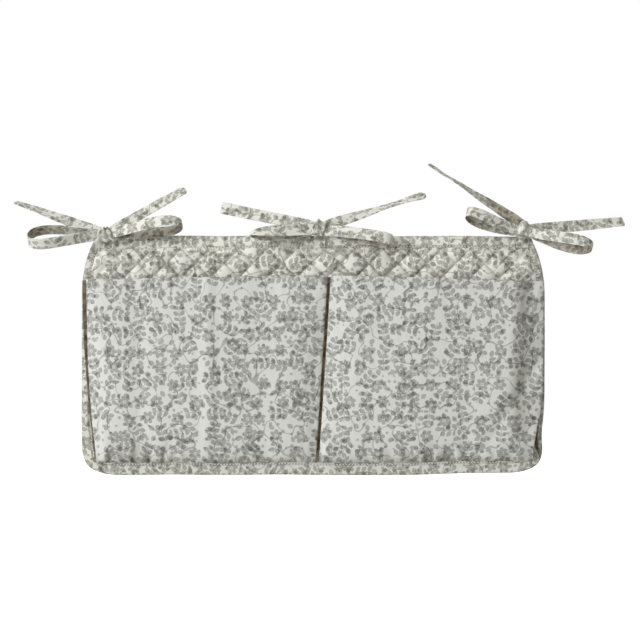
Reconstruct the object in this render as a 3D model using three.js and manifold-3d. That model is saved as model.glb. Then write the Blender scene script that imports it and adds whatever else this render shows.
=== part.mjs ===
// Crib organizer: a quilted cotton panel with bound edges, two pleated pockets and three bow-tied ties.
// Millimetres. X runs to the right, Y to the back, Z up. The origin is the middle of the panel's top edge.

import * as THREE from 'three';
import { mergeVertices } from 'three/addons/utils/BufferGeometryUtils.js';
import Module from 'manifold-3d';

const wasm = await Module();
wasm.setup();

// Cloth and clearances
const COTTON = 0.6;
const GAP = 0.3;

// Panel outline, seen from the front
const PANEL_WIDTH = 578;
const PANEL_HEIGHT = 299;
const SHOULDER_INSET = 15;
const SHOULDER_DROP = 72;
const SHOULDER_BEND = 0.45;
const SHOULDER_TURN = 1;
const TOP_CORNER = 9;
const FOOT_CORNER_ACROSS = 46;
const FOOT_CORNER_UP = 38;
const CORNER_SEGMENTS = 7;

// Quilting
const WADDING_THICKNESS = 2.8;
const PUFF = 3.2;
const DIAMOND = 36;
const DIAMOND_CENTRE_X = 15.5;
const QUILT_MARGIN = 0.5;

// Binding
const BINDING_WIDTH = 16;
const BINDING_CLOTH = 1;

// Pockets: each edge is [at the mouth, at the foot]; the outer two are insets from the panel's sides
const MOUTH_DROP = 52;
const LEFT_POCKET_INSET = [8, 21];
const RIGHT_POCKET_INSET = [4.5, 14.5];
const DIVIDER = [19.5, 5];
const DIVIDER_GAP = 3.8;
const POCKET_STAND = 8;
const POCKET_BULGE = 6.5;
const BULGE_FLATNESS = 4;
const BULGE_CROWN = 0.72;
const POCKET_RISE = 20;
const POCKET_COLUMNS = 12;
const POCKET_ROWS = 9;
const ROW_SPREAD = 1.6;

// Pleats
const PLEAT_DEPTH = 20;
const PLEAT_FOOT = 26;
const PLEAT_ROWS = 6;

// Ties
const TIE_WIDTH = 15;
const TIE_CLOTH = 1;
const TAB_FOOT = 15;
const KNOT_RADIUS = 8.5;
const KNOT_DEPTH = 13;
const KNOT_CLEARANCE = 0.5;
const KNOT_BLUNTNESS = 0.7;
const KNOT_RINGS = 8;
const KNOT_SIDES = 16;
const GATHER_SHARE = 0.5;
const GATHER_LENGTH = 26;
const LOOP_ROOT_GAP = 2;
const LOOP_FORWARD = 3;
const LOOP_LEAN = 7;
const TAIL_BACKWARD = 4;
const TAIL_LEAN = 10;
const LOOP_STEPS = 24;
const TAIL_STEPS = 12;
const LEFT_BOW_INSET = 30;
const MIDDLE_BOW_X = 8;
const RIGHT_BOW_INSET = 28;

// Bows: how high each knot stands, how far each strand reaches from it and how wide each loop opens
const LEFT_KNOT_HEIGHT = 1.5;
const LEFT_BOW_LEFT_LOOP_LENGTH = 91;
const LEFT_BOW_LEFT_LOOP_WIDTH = 36;
const LEFT_BOW_RIGHT_LOOP_LENGTH = 98;
const LEFT_BOW_RIGHT_LOOP_WIDTH = 25;
const LEFT_BOW_LEFT_TAIL_LENGTH = 126;
const LEFT_BOW_RIGHT_TAIL_LENGTH = 116;
const MIDDLE_KNOT_HEIGHT = 10;
const MIDDLE_BOW_LEFT_LOOP_LENGTH = 86;
const MIDDLE_BOW_LEFT_LOOP_WIDTH = 16;
const MIDDLE_BOW_RIGHT_LOOP_LENGTH = 90;
const MIDDLE_BOW_RIGHT_LOOP_WIDTH = 12;
const MIDDLE_BOW_LEFT_TAIL_LENGTH = 129;
const MIDDLE_BOW_RIGHT_TAIL_LENGTH = 143;
const RIGHT_KNOT_HEIGHT = 6.5;
const RIGHT_BOW_LEFT_LOOP_LENGTH = 75;
const RIGHT_BOW_LEFT_LOOP_WIDTH = 28;
const RIGHT_BOW_RIGHT_LOOP_LENGTH = 86;
const RIGHT_BOW_RIGHT_LOOP_WIDTH = 26;
const RIGHT_BOW_LEFT_TAIL_LENGTH = 142;
const RIGHT_BOW_LEFT_TAIL_HEIGHT = 7;
const RIGHT_BOW_RIGHT_TAIL_LENGTH = 133;

// Place of each knot, then length, direction and set of each strand.
// heading is in degrees from +X towards +Z; lean tips a loop's cloth from edge-on to face-on;
// turn twists a tail from face-on (0) towards edge-on (90), at the knot and at the tip;
// rise is how far above the knot's middle a tail leaves it.
const BOWS = {
  left: {
    x: LEFT_BOW_INSET - PANEL_WIDTH / 2,
    z: LEFT_KNOT_HEIGHT,
    left_loop: {
      length: LEFT_BOW_LEFT_LOOP_LENGTH, width: LEFT_BOW_LEFT_LOOP_WIDTH,
      heading: 184, lean: 52,
    },
    right_loop: {
      length: LEFT_BOW_RIGHT_LOOP_LENGTH, width: LEFT_BOW_RIGHT_LOOP_WIDTH,
      heading: 8, lean: -55,
    },
    left_tail: { length: LEFT_BOW_LEFT_TAIL_LENGTH, heading: 160, turn: [5, 73], rise: 0 },
    right_tail: { length: LEFT_BOW_RIGHT_TAIL_LENGTH, heading: 30.5, turn: [30, 48], rise: 0 },
  },
  middle: {
    x: MIDDLE_BOW_X,
    z: MIDDLE_KNOT_HEIGHT,
    left_loop: {
      length: MIDDLE_BOW_LEFT_LOOP_LENGTH, width: MIDDLE_BOW_LEFT_LOOP_WIDTH,
      heading: 183, lean: -62,
    },
    right_loop: {
      length: MIDDLE_BOW_RIGHT_LOOP_LENGTH, width: MIDDLE_BOW_RIGHT_LOOP_WIDTH,
      heading: -9, lean: -74,
    },
    left_tail: { length: MIDDLE_BOW_LEFT_TAIL_LENGTH, heading: 168, turn: [8, 8], rise: 0 },
    right_tail: { length: MIDDLE_BOW_RIGHT_TAIL_LENGTH, heading: 18, turn: [5, 62], rise: 0 },
  },
  right: {
    x: PANEL_WIDTH / 2 - RIGHT_BOW_INSET,
    z: RIGHT_KNOT_HEIGHT,
    left_loop: {
      length: RIGHT_BOW_LEFT_LOOP_LENGTH, width: RIGHT_BOW_LEFT_LOOP_WIDTH,
      heading: 162, lean: -58,
    },
    right_loop: {
      length: RIGHT_BOW_RIGHT_LOOP_LENGTH, width: RIGHT_BOW_RIGHT_LOOP_WIDTH,
      heading: -14, lean: -60,
    },
    left_tail: {
      length: RIGHT_BOW_LEFT_TAIL_LENGTH, heading: 146,
      turn: [5, 80], rise: RIGHT_BOW_LEFT_TAIL_HEIGHT,
    },
    right_tail: { length: RIGHT_BOW_RIGHT_TAIL_LENGTH, heading: 5.5, turn: [5, 48], rise: 0 },
  },
};

// Levels in depth, measured from the middle of the quilt
const FACE_INNER = WADDING_THICKNESS / 2 + GAP;
const FACE_OUTER = FACE_INNER + COTTON;
const BINDING_INNER = FACE_OUTER + GAP;
const BINDING_OUTER = BINDING_INNER + BINDING_CLOTH;
const TAB_INNER = BINDING_OUTER + GAP;
const TAB_OUTER = TAB_INNER + TIE_CLOTH;
const KNOT_Y = -(TAB_OUTER + GAP + KNOT_DEPTH / 2);
const FOOT_Z = -(PANEL_HEIGHT - BINDING_WIDTH);
const MOUTH_Z = -MOUTH_DROP;

const BACK = new THREE.Vector3(0, 1, 0);

const smooth = (t) => THREE.MathUtils.smoothstep(t, 0, 1);
const mix = THREE.MathUtils.lerp;
const point = (x, y, z) => new THREE.Vector3(x, y, z);

// A closed solid between two grids of points.
// The front grid faces -Y when its columns run to +X and its rows to +Z.
function sheetSolid(front, back, splitOther = () => false) {
  const rows = front.length;
  const columns = front[0].length;
  const positions = [];
  const index = [];
  for (const grid of [front, back]) {
    grid.flat().forEach((p) => positions.push(p.x, p.y, p.z));
  }
  const f = (r, c) => r * columns + c;
  const b = (r, c) => rows * columns + r * columns + c;
  const quad = (p, q, r, s) => index.push(p, q, r, p, r, s);
  for (let r = 0; r < rows - 1; r += 1) {
    for (let c = 0; c < columns - 1; c += 1) {
      if (splitOther(r, c)) {
        quad(f(r, c + 1), f(r + 1, c + 1), f(r + 1, c), f(r, c));
        quad(b(r, c + 1), b(r, c), b(r + 1, c), b(r + 1, c + 1));
      } else {
        quad(f(r, c), f(r, c + 1), f(r + 1, c + 1), f(r + 1, c));
        quad(b(r, c), b(r + 1, c), b(r + 1, c + 1), b(r, c + 1));
      }
    }
  }
  for (let c = 0; c < columns - 1; c += 1) {
    quad(b(0, c), b(0, c + 1), f(0, c + 1), f(0, c));
    quad(f(rows - 1, c), f(rows - 1, c + 1), b(rows - 1, c + 1), b(rows - 1, c));
  }
  for (let r = 0; r < rows - 1; r += 1) {
    quad(f(r, 0), f(r + 1, 0), b(r + 1, 0), b(r, 0));
    quad(b(r, columns - 1), b(r + 1, columns - 1), f(r + 1, columns - 1), f(r, columns - 1));
  }
  const geometry = new THREE.BufferGeometry();
  geometry.setAttribute('position', new THREE.Float32BufferAttribute(positions, 3));
  geometry.setIndex(index);
  return geometry;
}

function toManifold(geometry) {
  const bare = geometry.clone();
  bare.deleteAttribute('normal');
  bare.deleteAttribute('uv');
  const merged = mergeVertices(bare, 1e-4);
  return new wasm.Manifold(
    new wasm.Mesh({
      numProp: 3,
      vertProperties: new Float32Array(merged.attributes.position.array),
      triVerts: new Uint32Array(merged.index.array),
    }),
  );
}

function toGeometry(solid) {
  const mesh = solid.getMesh();
  const geometry = new THREE.BufferGeometry();
  geometry.setAttribute('position', new THREE.Float32BufferAttribute(mesh.vertProperties, 3));
  geometry.setIndex(Array.from(mesh.triVerts));
  return geometry;
}

// The panel's outline as a shape in X and Z, drawn in from the edge by an inset.
function panelOutline(inset) {
  const half = PANEL_WIDTH / 2 - inset;
  const topHalf = half - SHOULDER_INSET;
  const top = -inset;
  const foot = -PANEL_HEIGHT + inset;
  const corner = Math.max(TOP_CORNER - inset, 1);
  const across = FOOT_CORNER_ACROSS - inset;
  const up = FOOT_CORNER_UP - inset;
  const shoulder = -SHOULDER_DROP;
  const bend = mix(-corner, shoulder, SHOULDER_BEND);
  const shape = new THREE.Shape();
  shape.moveTo(-topHalf + corner, top);
  shape.lineTo(topHalf - corner, top);
  shape.quadraticCurveTo(topHalf, top, topHalf + SHOULDER_TURN, top - corner);
  shape.quadraticCurveTo(half - SHOULDER_TURN, bend, half, shoulder);
  shape.lineTo(half, foot + up);
  shape.absellipse(half - across, foot + up, across, up, 0, -Math.PI / 2, true);
  shape.lineTo(-half + across, foot);
  shape.absellipse(-half + across, foot + up, across, up, -Math.PI / 2, -Math.PI, true);
  shape.lineTo(-half, shoulder);
  shape.quadraticCurveTo(-half + SHOULDER_TURN, bend, -topHalf - SHOULDER_TURN, top - corner);
  shape.quadraticCurveTo(-topHalf, top, -topHalf + corner, top);
  return shape;
}

// The outline as a slab between two depths.
function panelSlab(inset, yFront, yBack) {
  const slab = new THREE.ExtrudeGeometry(panelOutline(inset), {
    depth: yBack - yFront,
    bevelEnabled: false,
    curveSegments: CORNER_SEGMENTS,
  });
  slab.rotateX(Math.PI / 2);
  slab.translate(0, yBack, 0);
  return toManifold(slab);
}

function boxSolid(x0, x1, y0, y1, z0, z1) {
  const box = new THREE.BoxGeometry(x1 - x0, y1 - y0, z1 - z0);
  box.translate((x0 + x1) / 2, (y0 + y1) / 2, (z0 + z1) / 2);
  return toManifold(box);
}

// Quilt layers: a square lattice whose points are diamond centres and stitch crossings in turn.
const HALF_DIAMOND = DIAMOND / 2;
const DIAMOND_CENTRE_Z = -BINDING_WIDTH - HALF_DIAMOND - QUILT_MARGIN;
const LATTICE_COLUMNS = 2 * Math.ceil(PANEL_WIDTH / DIAMOND / 2 + 1);
const LATTICE_ROWS = Math.ceil(PANEL_HEIGHT / HALF_DIAMOND) + 1;

const isCentre = (row, column) => (row + column) % 2 === 0;
const columnX = (column) => DIAMOND_CENTRE_X + (column - LATTICE_COLUMNS) * HALF_DIAMOND;
const rowZ = (row) => DIAMOND_CENTRE_Z + (row - LATTICE_ROWS + 1) * HALF_DIAMOND;

function puffAt(row, column) {
  const insideX = PANEL_WIDTH / 2 - BINDING_WIDTH - HALF_DIAMOND;
  const z = rowZ(row);
  const shoulder = SHOULDER_INSET * smooth((z + SHOULDER_DROP) / SHOULDER_DROP);
  const inside = Math.abs(columnX(column)) <= insideX - shoulder;
  const between = z <= DIAMOND_CENTRE_Z + QUILT_MARGIN && z >= FOOT_Z + HALF_DIAMOND;
  return isCentre(row, column) && inside && between ? PUFF : 0;
}

// A layer whose two faces stand at signed depths from the quilt's middle, negative to the front.
function quiltLayer(frontLevel, backLevel) {
  const grid = (level) => {
    const rows = [];
    for (let row = 0; row < LATTICE_ROWS + 2; row += 1) {
      const line = [];
      for (let column = 0; column <= 2 * LATTICE_COLUMNS; column += 1) {
        const y = level + Math.sign(level) * puffAt(row, column);
        line.push(point(columnX(column), y, rowZ(row)));
      }
      rows.push(line);
    }
    return rows;
  };
  const sheet = toManifold(sheetSolid(grid(frontLevel), grid(backLevel), isCentre));
  const reach = BINDING_OUTER + PUFF;
  return sheet.intersect(panelSlab(BINDING_CLOTH + GAP, -reach, reach));
}

const quiltFace = quiltLayer(-FACE_OUTER, -FACE_INNER);
const quiltWadding = quiltLayer(-WADDING_THICKNESS / 2, WADDING_THICKNESS / 2);
const quiltLining = quiltLayer(FACE_INNER, FACE_OUTER);

// Binding: a folded tape round the panel's edge, parted below the top run.
const bindingRing = panelSlab(0, -BINDING_OUTER, BINDING_OUTER)
  .subtract(panelSlab(BINDING_CLOTH, -BINDING_INNER, BINDING_INNER))
  .subtract(panelSlab(BINDING_WIDTH, -BINDING_OUTER - 1, BINDING_OUTER + 1));
const partedBetween = (z0, z1) => boxSolid(-PANEL_WIDTH, PANEL_WIDTH, -PANEL_WIDTH, PANEL_WIDTH, z0, z1);
const PARTING_Z = -(BINDING_WIDTH + GAP / 2);
const topBinding = bindingRing.intersect(partedBetween(PARTING_Z, PANEL_HEIGHT));
const edgeBinding = bindingRing.intersect(partedBetween(-2 * PANEL_HEIGHT, PARTING_Z - GAP));

// Pockets: how far the cloth's inner face stands off the panel, from the foot seam up.
const standAt = (height) => POCKET_STAND * (1 - Math.exp(-height / POCKET_RISE));
const pocketHeight = MOUTH_Z - FOOT_Z;
const POCKET_BASE = BINDING_OUTER + GAP;
const LEFT_EDGE = LEFT_POCKET_INSET.map((inset) => inset - PANEL_WIDTH / 2);
const RIGHT_EDGE = RIGHT_POCKET_INSET.map((inset) => PANEL_WIDTH / 2 - inset);

function pocketInnerY(height, across) {
  const share = height / pocketHeight;
  const crown = Math.sin(Math.PI * BULGE_CROWN * share) * (1 - (2 * across - 1) ** BULGE_FLATNESS);
  return -(POCKET_BASE + standAt(height) + POCKET_BULGE * crown);
}

function edgeX(edge, z) {
  return mix(edge[1], edge[0], (z - FOOT_Z) / pocketHeight);
}

function pocketSheet(leftEdge, rightEdge, offset) {
  const grid = (depth) => {
    const rows = [];
    for (let r = 0; r <= POCKET_ROWS; r += 1) {
      const height = mix(2 * GAP, pocketHeight, (r / POCKET_ROWS) ** ROW_SPREAD);
      const z = FOOT_Z + height;
      const line = [];
      for (let c = 0; c <= POCKET_COLUMNS; c += 1) {
        const across = c / POCKET_COLUMNS;
        const x = mix(edgeX(leftEdge, z), edgeX(rightEdge, z), across);
        line.push(point(x, pocketInnerY(height, across) - depth, z));
      }
      rows.push(line);
    }
    return rows;
  };
  return sheetSolid(grid(offset + COTTON), grid(offset));
}

// Pleat: a strip that runs in from the pocket's edge, folds, and comes back out to its seam.
function pleatStrip(edge, inward, seamLevel) {
  const outer = [];
  const inner = [];
  for (let r = 0; r <= PLEAT_ROWS; r += 1) {
    const height = mix(PLEAT_FOOT, pocketHeight - GAP, r / PLEAT_ROWS);
    const z = FOOT_Z + height;
    const frontX = edgeX(edge, z) + inward * GAP;
    const frontY = pocketInnerY(height, 0) + GAP + COTTON / 2;
    const seamY = -(seamLevel + COTTON / 2);
    const foldX = frontX + inward * PLEAT_DEPTH;
    const foldY = (frontY + seamY) / 2;
    const half = COTTON / 2;
    outer.push([
      point(frontX, frontY - half, z),
      point(foldX + inward * COTTON, foldY, z),
      point(edgeX(edge, z), seamY + half, z),
    ]);
    inner.push([
      point(frontX, frontY + half, z),
      point(foldX - inward * COTTON, foldY, z),
      point(edgeX(edge, z), seamY - half, z),
    ]);
  }
  return inward > 0 ? sheetSolid(outer, inner) : sheetSolid(inner, outer);
}

const shifted = (edge, x) => edge.map((value) => value + x);
const LEFT_INNER_EDGE = shifted(DIVIDER, -DIVIDER_GAP / 2);
const RIGHT_INNER_EDGE = shifted(DIVIDER, DIVIDER_GAP / 2);
const SIDE_SEAM_LEVEL = BINDING_OUTER + GAP;
const DIVIDER_SEAM_LEVEL = FACE_OUTER + PUFF + GAP;

// Ties: a flat strap that follows a path of places, cloth directions and gathers.
function strap(stations) {
  const front = [];
  const back = [];
  stations.forEach((station, i) => {
    const before = stations[Math.max(i - 1, 0)].place;
    const after = stations[Math.min(i + 1, stations.length - 1)].place;
    const along = after.clone().sub(before).normalize();
    const across = station.across.clone().addScaledVector(along, -station.across.dot(along)).normalize();
    const out = across.clone().cross(along).multiplyScalar(TIE_CLOTH / 2);
    const side = across.multiplyScalar(station.width / 2);
    const left = station.place.clone().sub(side);
    const right = station.place.clone().add(side);
    front.push([left.clone().add(out), right.clone().add(out)]);
    back.push([left.sub(out), right.sub(out)]);
  });
  return toManifold(sheetSolid(front, back));
}

const gathered = (distance) => TIE_WIDTH * mix(GATHER_SHARE, 1, smooth(distance / GATHER_LENGTH));

function headingAxes(degrees) {
  const angle = THREE.MathUtils.degToRad(degrees);
  const ahead = point(Math.cos(angle), 0, Math.sin(angle));
  const up = point(-Math.sin(angle), 0, Math.cos(angle)).multiplyScalar(Math.sign(Math.cos(angle)));
  return { ahead, up };
}

// A loop is a teardrop that leaves the knot on one side and returns on the other.
function loopStrap(knot, { length, width, heading, lean }) {
  const { ahead, up } = headingAxes(heading);
  const tip = THREE.MathUtils.degToRad(lean);
  const across = up.clone().multiplyScalar(Math.sin(tip)).addScaledVector(BACK, -Math.cos(tip));
  const spread = up.clone().multiplyScalar(Math.cos(tip)).addScaledVector(BACK, Math.sin(tip));
  const forward = Math.tan(THREE.MathUtils.degToRad(LOOP_LEAN));
  const root = knot.clone().addScaledVector(BACK, -LOOP_FORWARD);
  const stations = [];
  for (let i = 0; i <= LOOP_STEPS; i += 1) {
    const turn = (2 * Math.PI * i) / LOOP_STEPS;
    const distance = (length * (1 - Math.cos(turn))) / 2;
    const opening = (width / 2) * Math.sin(turn) * Math.sin(turn / 2);
    const part = (LOOP_ROOT_GAP / 2) * Math.cos(turn / 2) + opening;
    const place = root.clone().addScaledVector(ahead, distance).addScaledVector(BACK, -forward * distance);
    place.addScaledVector(spread, -part);
    stations.push({ place, across, width: gathered(distance) });
  }
  return strap(stations);
}

// A tail runs straight out behind the loops, leaning back and twisting towards its tip.
function tailStrap(knot, { length, heading, turn, rise }) {
  const { ahead, up } = headingAxes(heading);
  const lean = THREE.MathUtils.degToRad(TAIL_LEAN);
  const along = ahead.clone().multiplyScalar(Math.cos(lean)).addScaledVector(BACK, Math.sin(lean));
  const edge = BACK.clone().multiplyScalar(Math.cos(lean)).addScaledVector(ahead, -Math.sin(lean));
  const root = knot.clone().add(point(0, TAIL_BACKWARD, rise));
  const stations = [];
  for (let i = 0; i <= TAIL_STEPS; i += 1) {
    const share = i / TAIL_STEPS;
    const twist = THREE.MathUtils.degToRad(mix(turn[0], turn[1], smooth(share)));
    const across = up.clone().multiplyScalar(Math.cos(twist)).addScaledVector(edge, Math.sin(twist));
    const place = root.clone().addScaledVector(along, length * share);
    stations.push({ place, across, width: gathered(length * share) });
  }
  return strap(stations);
}

// A knot is a rounded lump turned about the depth axis, so a tail's cut root can swing round it.
function knotSolid(knot, clearance) {
  const radius = KNOT_RADIUS + clearance;
  const half = KNOT_DEPTH / 2 + clearance;
  const profile = [];
  for (let i = 0; i <= KNOT_RINGS; i += 1) {
    const angle = (Math.PI * i) / KNOT_RINGS - Math.PI / 2;
    const reach = i % KNOT_RINGS === 0 ? 0 : Math.cos(angle) ** KNOT_BLUNTNESS;
    profile.push(new THREE.Vector2(radius * reach, half * Math.sin(angle)));
  }
  const lump = new THREE.LatheGeometry(profile, KNOT_SIDES);
  lump.translate(knot.x, knot.y, knot.z);
  return toManifold(lump);
}

function tabSolid(knot) {
  const half = TIE_WIDTH / 2;
  return boxSolid(knot.x - half, knot.x + half, -TAB_OUTER, -TAB_INNER, -TAB_FOOT, knot.z);
}

// Assembly
const organizer = new THREE.Group();
organizer.name = 'crib_organizer';

function add(name, solid, color, roughness = 0.9) {
  const geometry = solid.isBufferGeometry ? solid : toGeometry(solid);
  const mesh = new THREE.Mesh(geometry, new THREE.MeshStandardMaterial({ color, roughness, metalness: 0 }));
  mesh.name = name;
  organizer.add(mesh);
}

const PRINTED_COTTON = 0xc9cac2;
const QUILTED_COTTON = 0xcfcfc4;
const BINDING_COTTON = 0xc2c3bb;
const WADDING_WHITE = 0xf0efea;
const PLEAT_SHADE = 0xb9b6aa;

add('quilt_face', quiltFace, QUILTED_COTTON);
add('quilt_wadding', quiltWadding, WADDING_WHITE, 1);
add('quilt_lining', quiltLining, QUILTED_COTTON);
add('top_binding', topBinding, BINDING_COTTON);
add('edge_binding', edgeBinding, BINDING_COTTON);
add('left_pocket_front', pocketSheet(LEFT_EDGE, LEFT_INNER_EDGE, COTTON + GAP), PRINTED_COTTON);
add('left_pocket_lining', pocketSheet(LEFT_EDGE, LEFT_INNER_EDGE, 0), PRINTED_COTTON);
add('right_pocket_front', pocketSheet(RIGHT_INNER_EDGE, RIGHT_EDGE, COTTON + GAP), PRINTED_COTTON);
add('right_pocket_lining', pocketSheet(RIGHT_INNER_EDGE, RIGHT_EDGE, 0), PRINTED_COTTON);
add('left_pocket_outer_pleat', pleatStrip(LEFT_EDGE, 1, SIDE_SEAM_LEVEL), PLEAT_SHADE);
add('left_pocket_inner_pleat', pleatStrip(LEFT_INNER_EDGE, -1, DIVIDER_SEAM_LEVEL), PLEAT_SHADE);
add('right_pocket_inner_pleat', pleatStrip(RIGHT_INNER_EDGE, 1, DIVIDER_SEAM_LEVEL), PLEAT_SHADE);
add('right_pocket_outer_pleat', pleatStrip(RIGHT_EDGE, -1, SIDE_SEAM_LEVEL), PLEAT_SHADE);

for (const [side, bow] of Object.entries(BOWS)) {
  const knot = point(bow.x, KNOT_Y, bow.z);
  const keepOut = knotSolid(knot, KNOT_CLEARANCE);
  add(`${side}_tie_tab`, tabSolid(knot), PRINTED_COTTON);
  add(`${side}_tie_knot`, knotSolid(knot, 0), PRINTED_COTTON);
  for (const strand of ['left_loop', 'right_loop']) {
    add(`${side}_tie_${strand}`, loopStrap(knot, bow[strand]).subtract(keepOut), PRINTED_COTTON);
  }
  for (const strand of ['left_tail', 'right_tail']) {
    add(`${side}_tie_${strand}`, tailStrap(knot, bow[strand]).subtract(keepOut), PRINTED_COTTON);
  }
}

export default organizer;
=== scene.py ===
import math

import bpy
import numpy as np
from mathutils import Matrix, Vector, noise


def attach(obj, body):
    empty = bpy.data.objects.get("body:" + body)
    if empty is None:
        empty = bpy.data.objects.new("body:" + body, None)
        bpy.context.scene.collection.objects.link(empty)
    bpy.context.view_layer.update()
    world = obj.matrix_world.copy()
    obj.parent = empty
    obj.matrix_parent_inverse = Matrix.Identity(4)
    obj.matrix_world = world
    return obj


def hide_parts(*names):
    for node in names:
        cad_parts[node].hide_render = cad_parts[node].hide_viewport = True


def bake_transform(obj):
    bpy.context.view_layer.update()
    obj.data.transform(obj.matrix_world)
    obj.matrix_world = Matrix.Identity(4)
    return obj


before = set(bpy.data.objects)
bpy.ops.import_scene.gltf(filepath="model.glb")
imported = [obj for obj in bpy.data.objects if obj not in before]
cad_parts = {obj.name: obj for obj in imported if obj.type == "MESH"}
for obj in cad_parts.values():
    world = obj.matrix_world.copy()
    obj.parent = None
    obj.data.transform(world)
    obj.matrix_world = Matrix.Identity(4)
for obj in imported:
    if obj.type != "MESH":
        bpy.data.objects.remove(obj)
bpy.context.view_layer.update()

MM = 0.001

# Panel. Sizes are in metres, with X to the right, Y to the back and Z up from the middle of the top edge
PANEL_WIDTH = 578 * MM
PANEL_HEIGHT = 299 * MM
SHOULDER_INSET = 15 * MM
SHOULDER_DROP = 72 * MM
SHOULDER_BEND = 0.45
SHOULDER_TURN = 1 * MM
TOP_CORNER = 9 * MM
FOOT_CORNER_ACROSS = 46 * MM
FOOT_CORNER_UP = 38 * MM

# Slack of the hung panel: how far its face, foot and sides wave, and over what size
FACE_WAVE = 1.4 * MM
FACE_WAVE_SIZE = 150 * MM
FOOT_WAVE = 1.1 * MM
FOOT_WAVE_SIZE = 90 * MM
SIDE_WAVE = 0.8 * MM
SIDE_WAVE_SIZE = 80 * MM

# Sides that turn back from the face: from how far out, by how much at the edge, and between which drops
RIGHT_TURN_FROM = 240 * MM
RIGHT_TURN = 2 * MM
LEFT_TURN_FROM = 258 * MM
LEFT_TURN = 3.5 * MM
TURN_TOP = 12 * MM
TURN_TOP_RUN = 50 * MM
TURN_FOOT = 200 * MM
TURN_FOOT_RUN = 70 * MM

# The foot's right end is lifted, the right side is drawn in above it, and the foot's corners are pushed out
FOOT_LIFT = 3.5 * MM
FOOT_LIFT_FROM = 90 * MM
FOOT_LIFT_RUN = 170 * MM
FOOT_LIFT_DROP = 240 * MM
FOOT_LIFT_FADE = 50 * MM
SIDE_DRAW = 3.5 * MM
SIDE_DRAW_FROM = 200 * MM
SIDE_DRAW_RUN = 80 * MM
SIDE_DRAW_DROP = 250 * MM
SIDE_DRAW_REACH = 30 * MM
CORNER_PUSH = 4.5 * MM
CORNER_DOWN = 0.6
CORNER_X = 286 * MM
CORNER_WIDTH = 22 * MM
CORNER_DROP = 294 * MM
CORNER_HEIGHT = 18 * MM

# Quilt: half its thickness along a seam, and the diamonds sewn into it
QUILT_HALF = 2.3 * MM
QUILT_INSET = 1.3 * MM
DIAMOND = 36 * MM
DIAMOND_CENTRE_X = 15.5 * MM
DIAMOND_CENTRE_Z = -34.5 * MM
QUILT_STEP = DIAMOND / 18
QUILT_EVEN_HALF = 250 * MM
QUILT_RIM_STEPS = 12
PUFF = 5.2 * MM
PUFF_FIRMNESS = 0.4
PUCKER = 0.5 * MM
PUCKER_SIZE = 6 * MM
QUILT_SEAM_SHADE = 0.5
QUILT_SEAM_SPREAD = 0.2
QUILT_RIM = 6 * MM
QUILT_ROUND = 3 * MM
QUILT_PRINT_SHIFT = (0.41, 0.23)

# Where the quilt is held flat: under the bindings, over the foot seam, along the pleats and up to the mouths
SIDE_MARGIN = 0.5
END_MARGIN = 0.85
FOOT_MARGIN_DROP = 235 * MM
FOOT_MARGIN_RUN = 40 * MM
TOP_MARGIN_DROP = 24 * MM
LOFT_RISE = 9 * MM
FOOT_FLAT = 8 * MM
FOOT_FLAT_RUN = 30 * MM
PLEAT_CLEAR = 6 * MM
PLEAT_CLEAR_RUN = 16 * MM
MOUTH_CLEAR = 12 * MM

# Binding tape, folded over the panel's edge
BINDING_WIDTH = 16 * MM
SIDE_BINDING_SHARE = 0.62
CORNER_SQUARENESS = 0.5
FOOT_FLAP_LIFT = 1.6 * MM
BINDING_DEPTH = 3.1 * MM
BINDING_HALF = 0.5 * MM
BINDING_STEP = 2.5 * MM
BINDING_PUCKER = 0.5 * MM
BINDING_PUCKER_SIZE = 8 * MM
STITCH_INSET = 14 * MM
STITCH_GROOVE = 0.9 * MM
STITCH_GROOVE_WIDTH = 1.2 * MM
FOLD_SHADE = 0.5
FOLD_SHADE_WIDTH = 3 * MM
FOLD_STEPS = 9
FLAT_STEPS = 12
FLAT_RIM = 0.08
TAPE_PRINT_ALONG = 0.17
TAPE_PRINT_ACROSS = 0.29
FINE_PUCKER = 0.5
FINE_PUCKER_SIZE = 3.5 * MM
GROOVE_CALM = 0.8
CLOTH_ROUND = 1 * MM

# The top binding is wider at its left end and stands out more at both ends; the edge binding widens into the
# foot, where its front is folded over the pockets
TOP_CORNER_STEPS = 10
TOP_FLAP_LEFT = 1.22
TOP_FLAP_RIGHT = 0.92
TOP_FLAP_FROM = -250 * MM
TOP_FLAP_RUN = 240 * MM
TOP_END_STAND = 0.16
TOP_END_X = 250 * MM
TOP_END_RUN = 15 * MM
FOOT_BINDING_DROP = 225 * MM
FOOT_BINDING_RUN = 50 * MM
OVER_POCKET_DROP = 250 * MM
OVER_POCKET_RUN = 30 * MM
FLAP_EDGE = 6 * MM
FLAP_EDGE_RUN = 8 * MM

# Pockets: an edge or seam is (x at the mouth, x at the foot, how soon it leaves the foot's x on its way up)
FOOT_Z = BINDING_WIDTH - PANEL_HEIGHT
MOUTH_Z = -52 * MM
POCKET_HEIGHT = MOUTH_Z - FOOT_Z
LEFT_EDGE = (-282 * MM, -268.4 * MM, 2.6)
LEFT_INNER_EDGE = (17.6 * MM, 3.1 * MM, 1)
RIGHT_INNER_EDGE = (21.4 * MM, 6.9 * MM, 1)
RIGHT_EDGE = (287 * MM, 272.5 * MM, 4.5)
LEFT_SEAM = (-288 * MM, -270.4 * MM, 2)
DIVIDER_SEAM = (19.5 * MM, 5 * MM, 1)
RIGHT_SEAM = (284 * MM, 283 * MM, 1)
POCKET_BASE = 2.9 * MM
POCKET_STAND = 8.6 * MM
POCKET_RISE = 6 * MM
POCKET_BULGE = 6.5 * MM
BULGE_FLATNESS = 4
BULGE_CROWN = 0.72
POCKET_HALF = 0.75 * MM
POCKET_ROUND = 1.5 * MM
POCKET_TUCK = 3 * MM
MOUTH_SWAY = 0.4
ROLL_RISE = 40 * MM
FOLD_RISE = 50 * MM
CRUMPLE = 1.8 * MM
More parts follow.
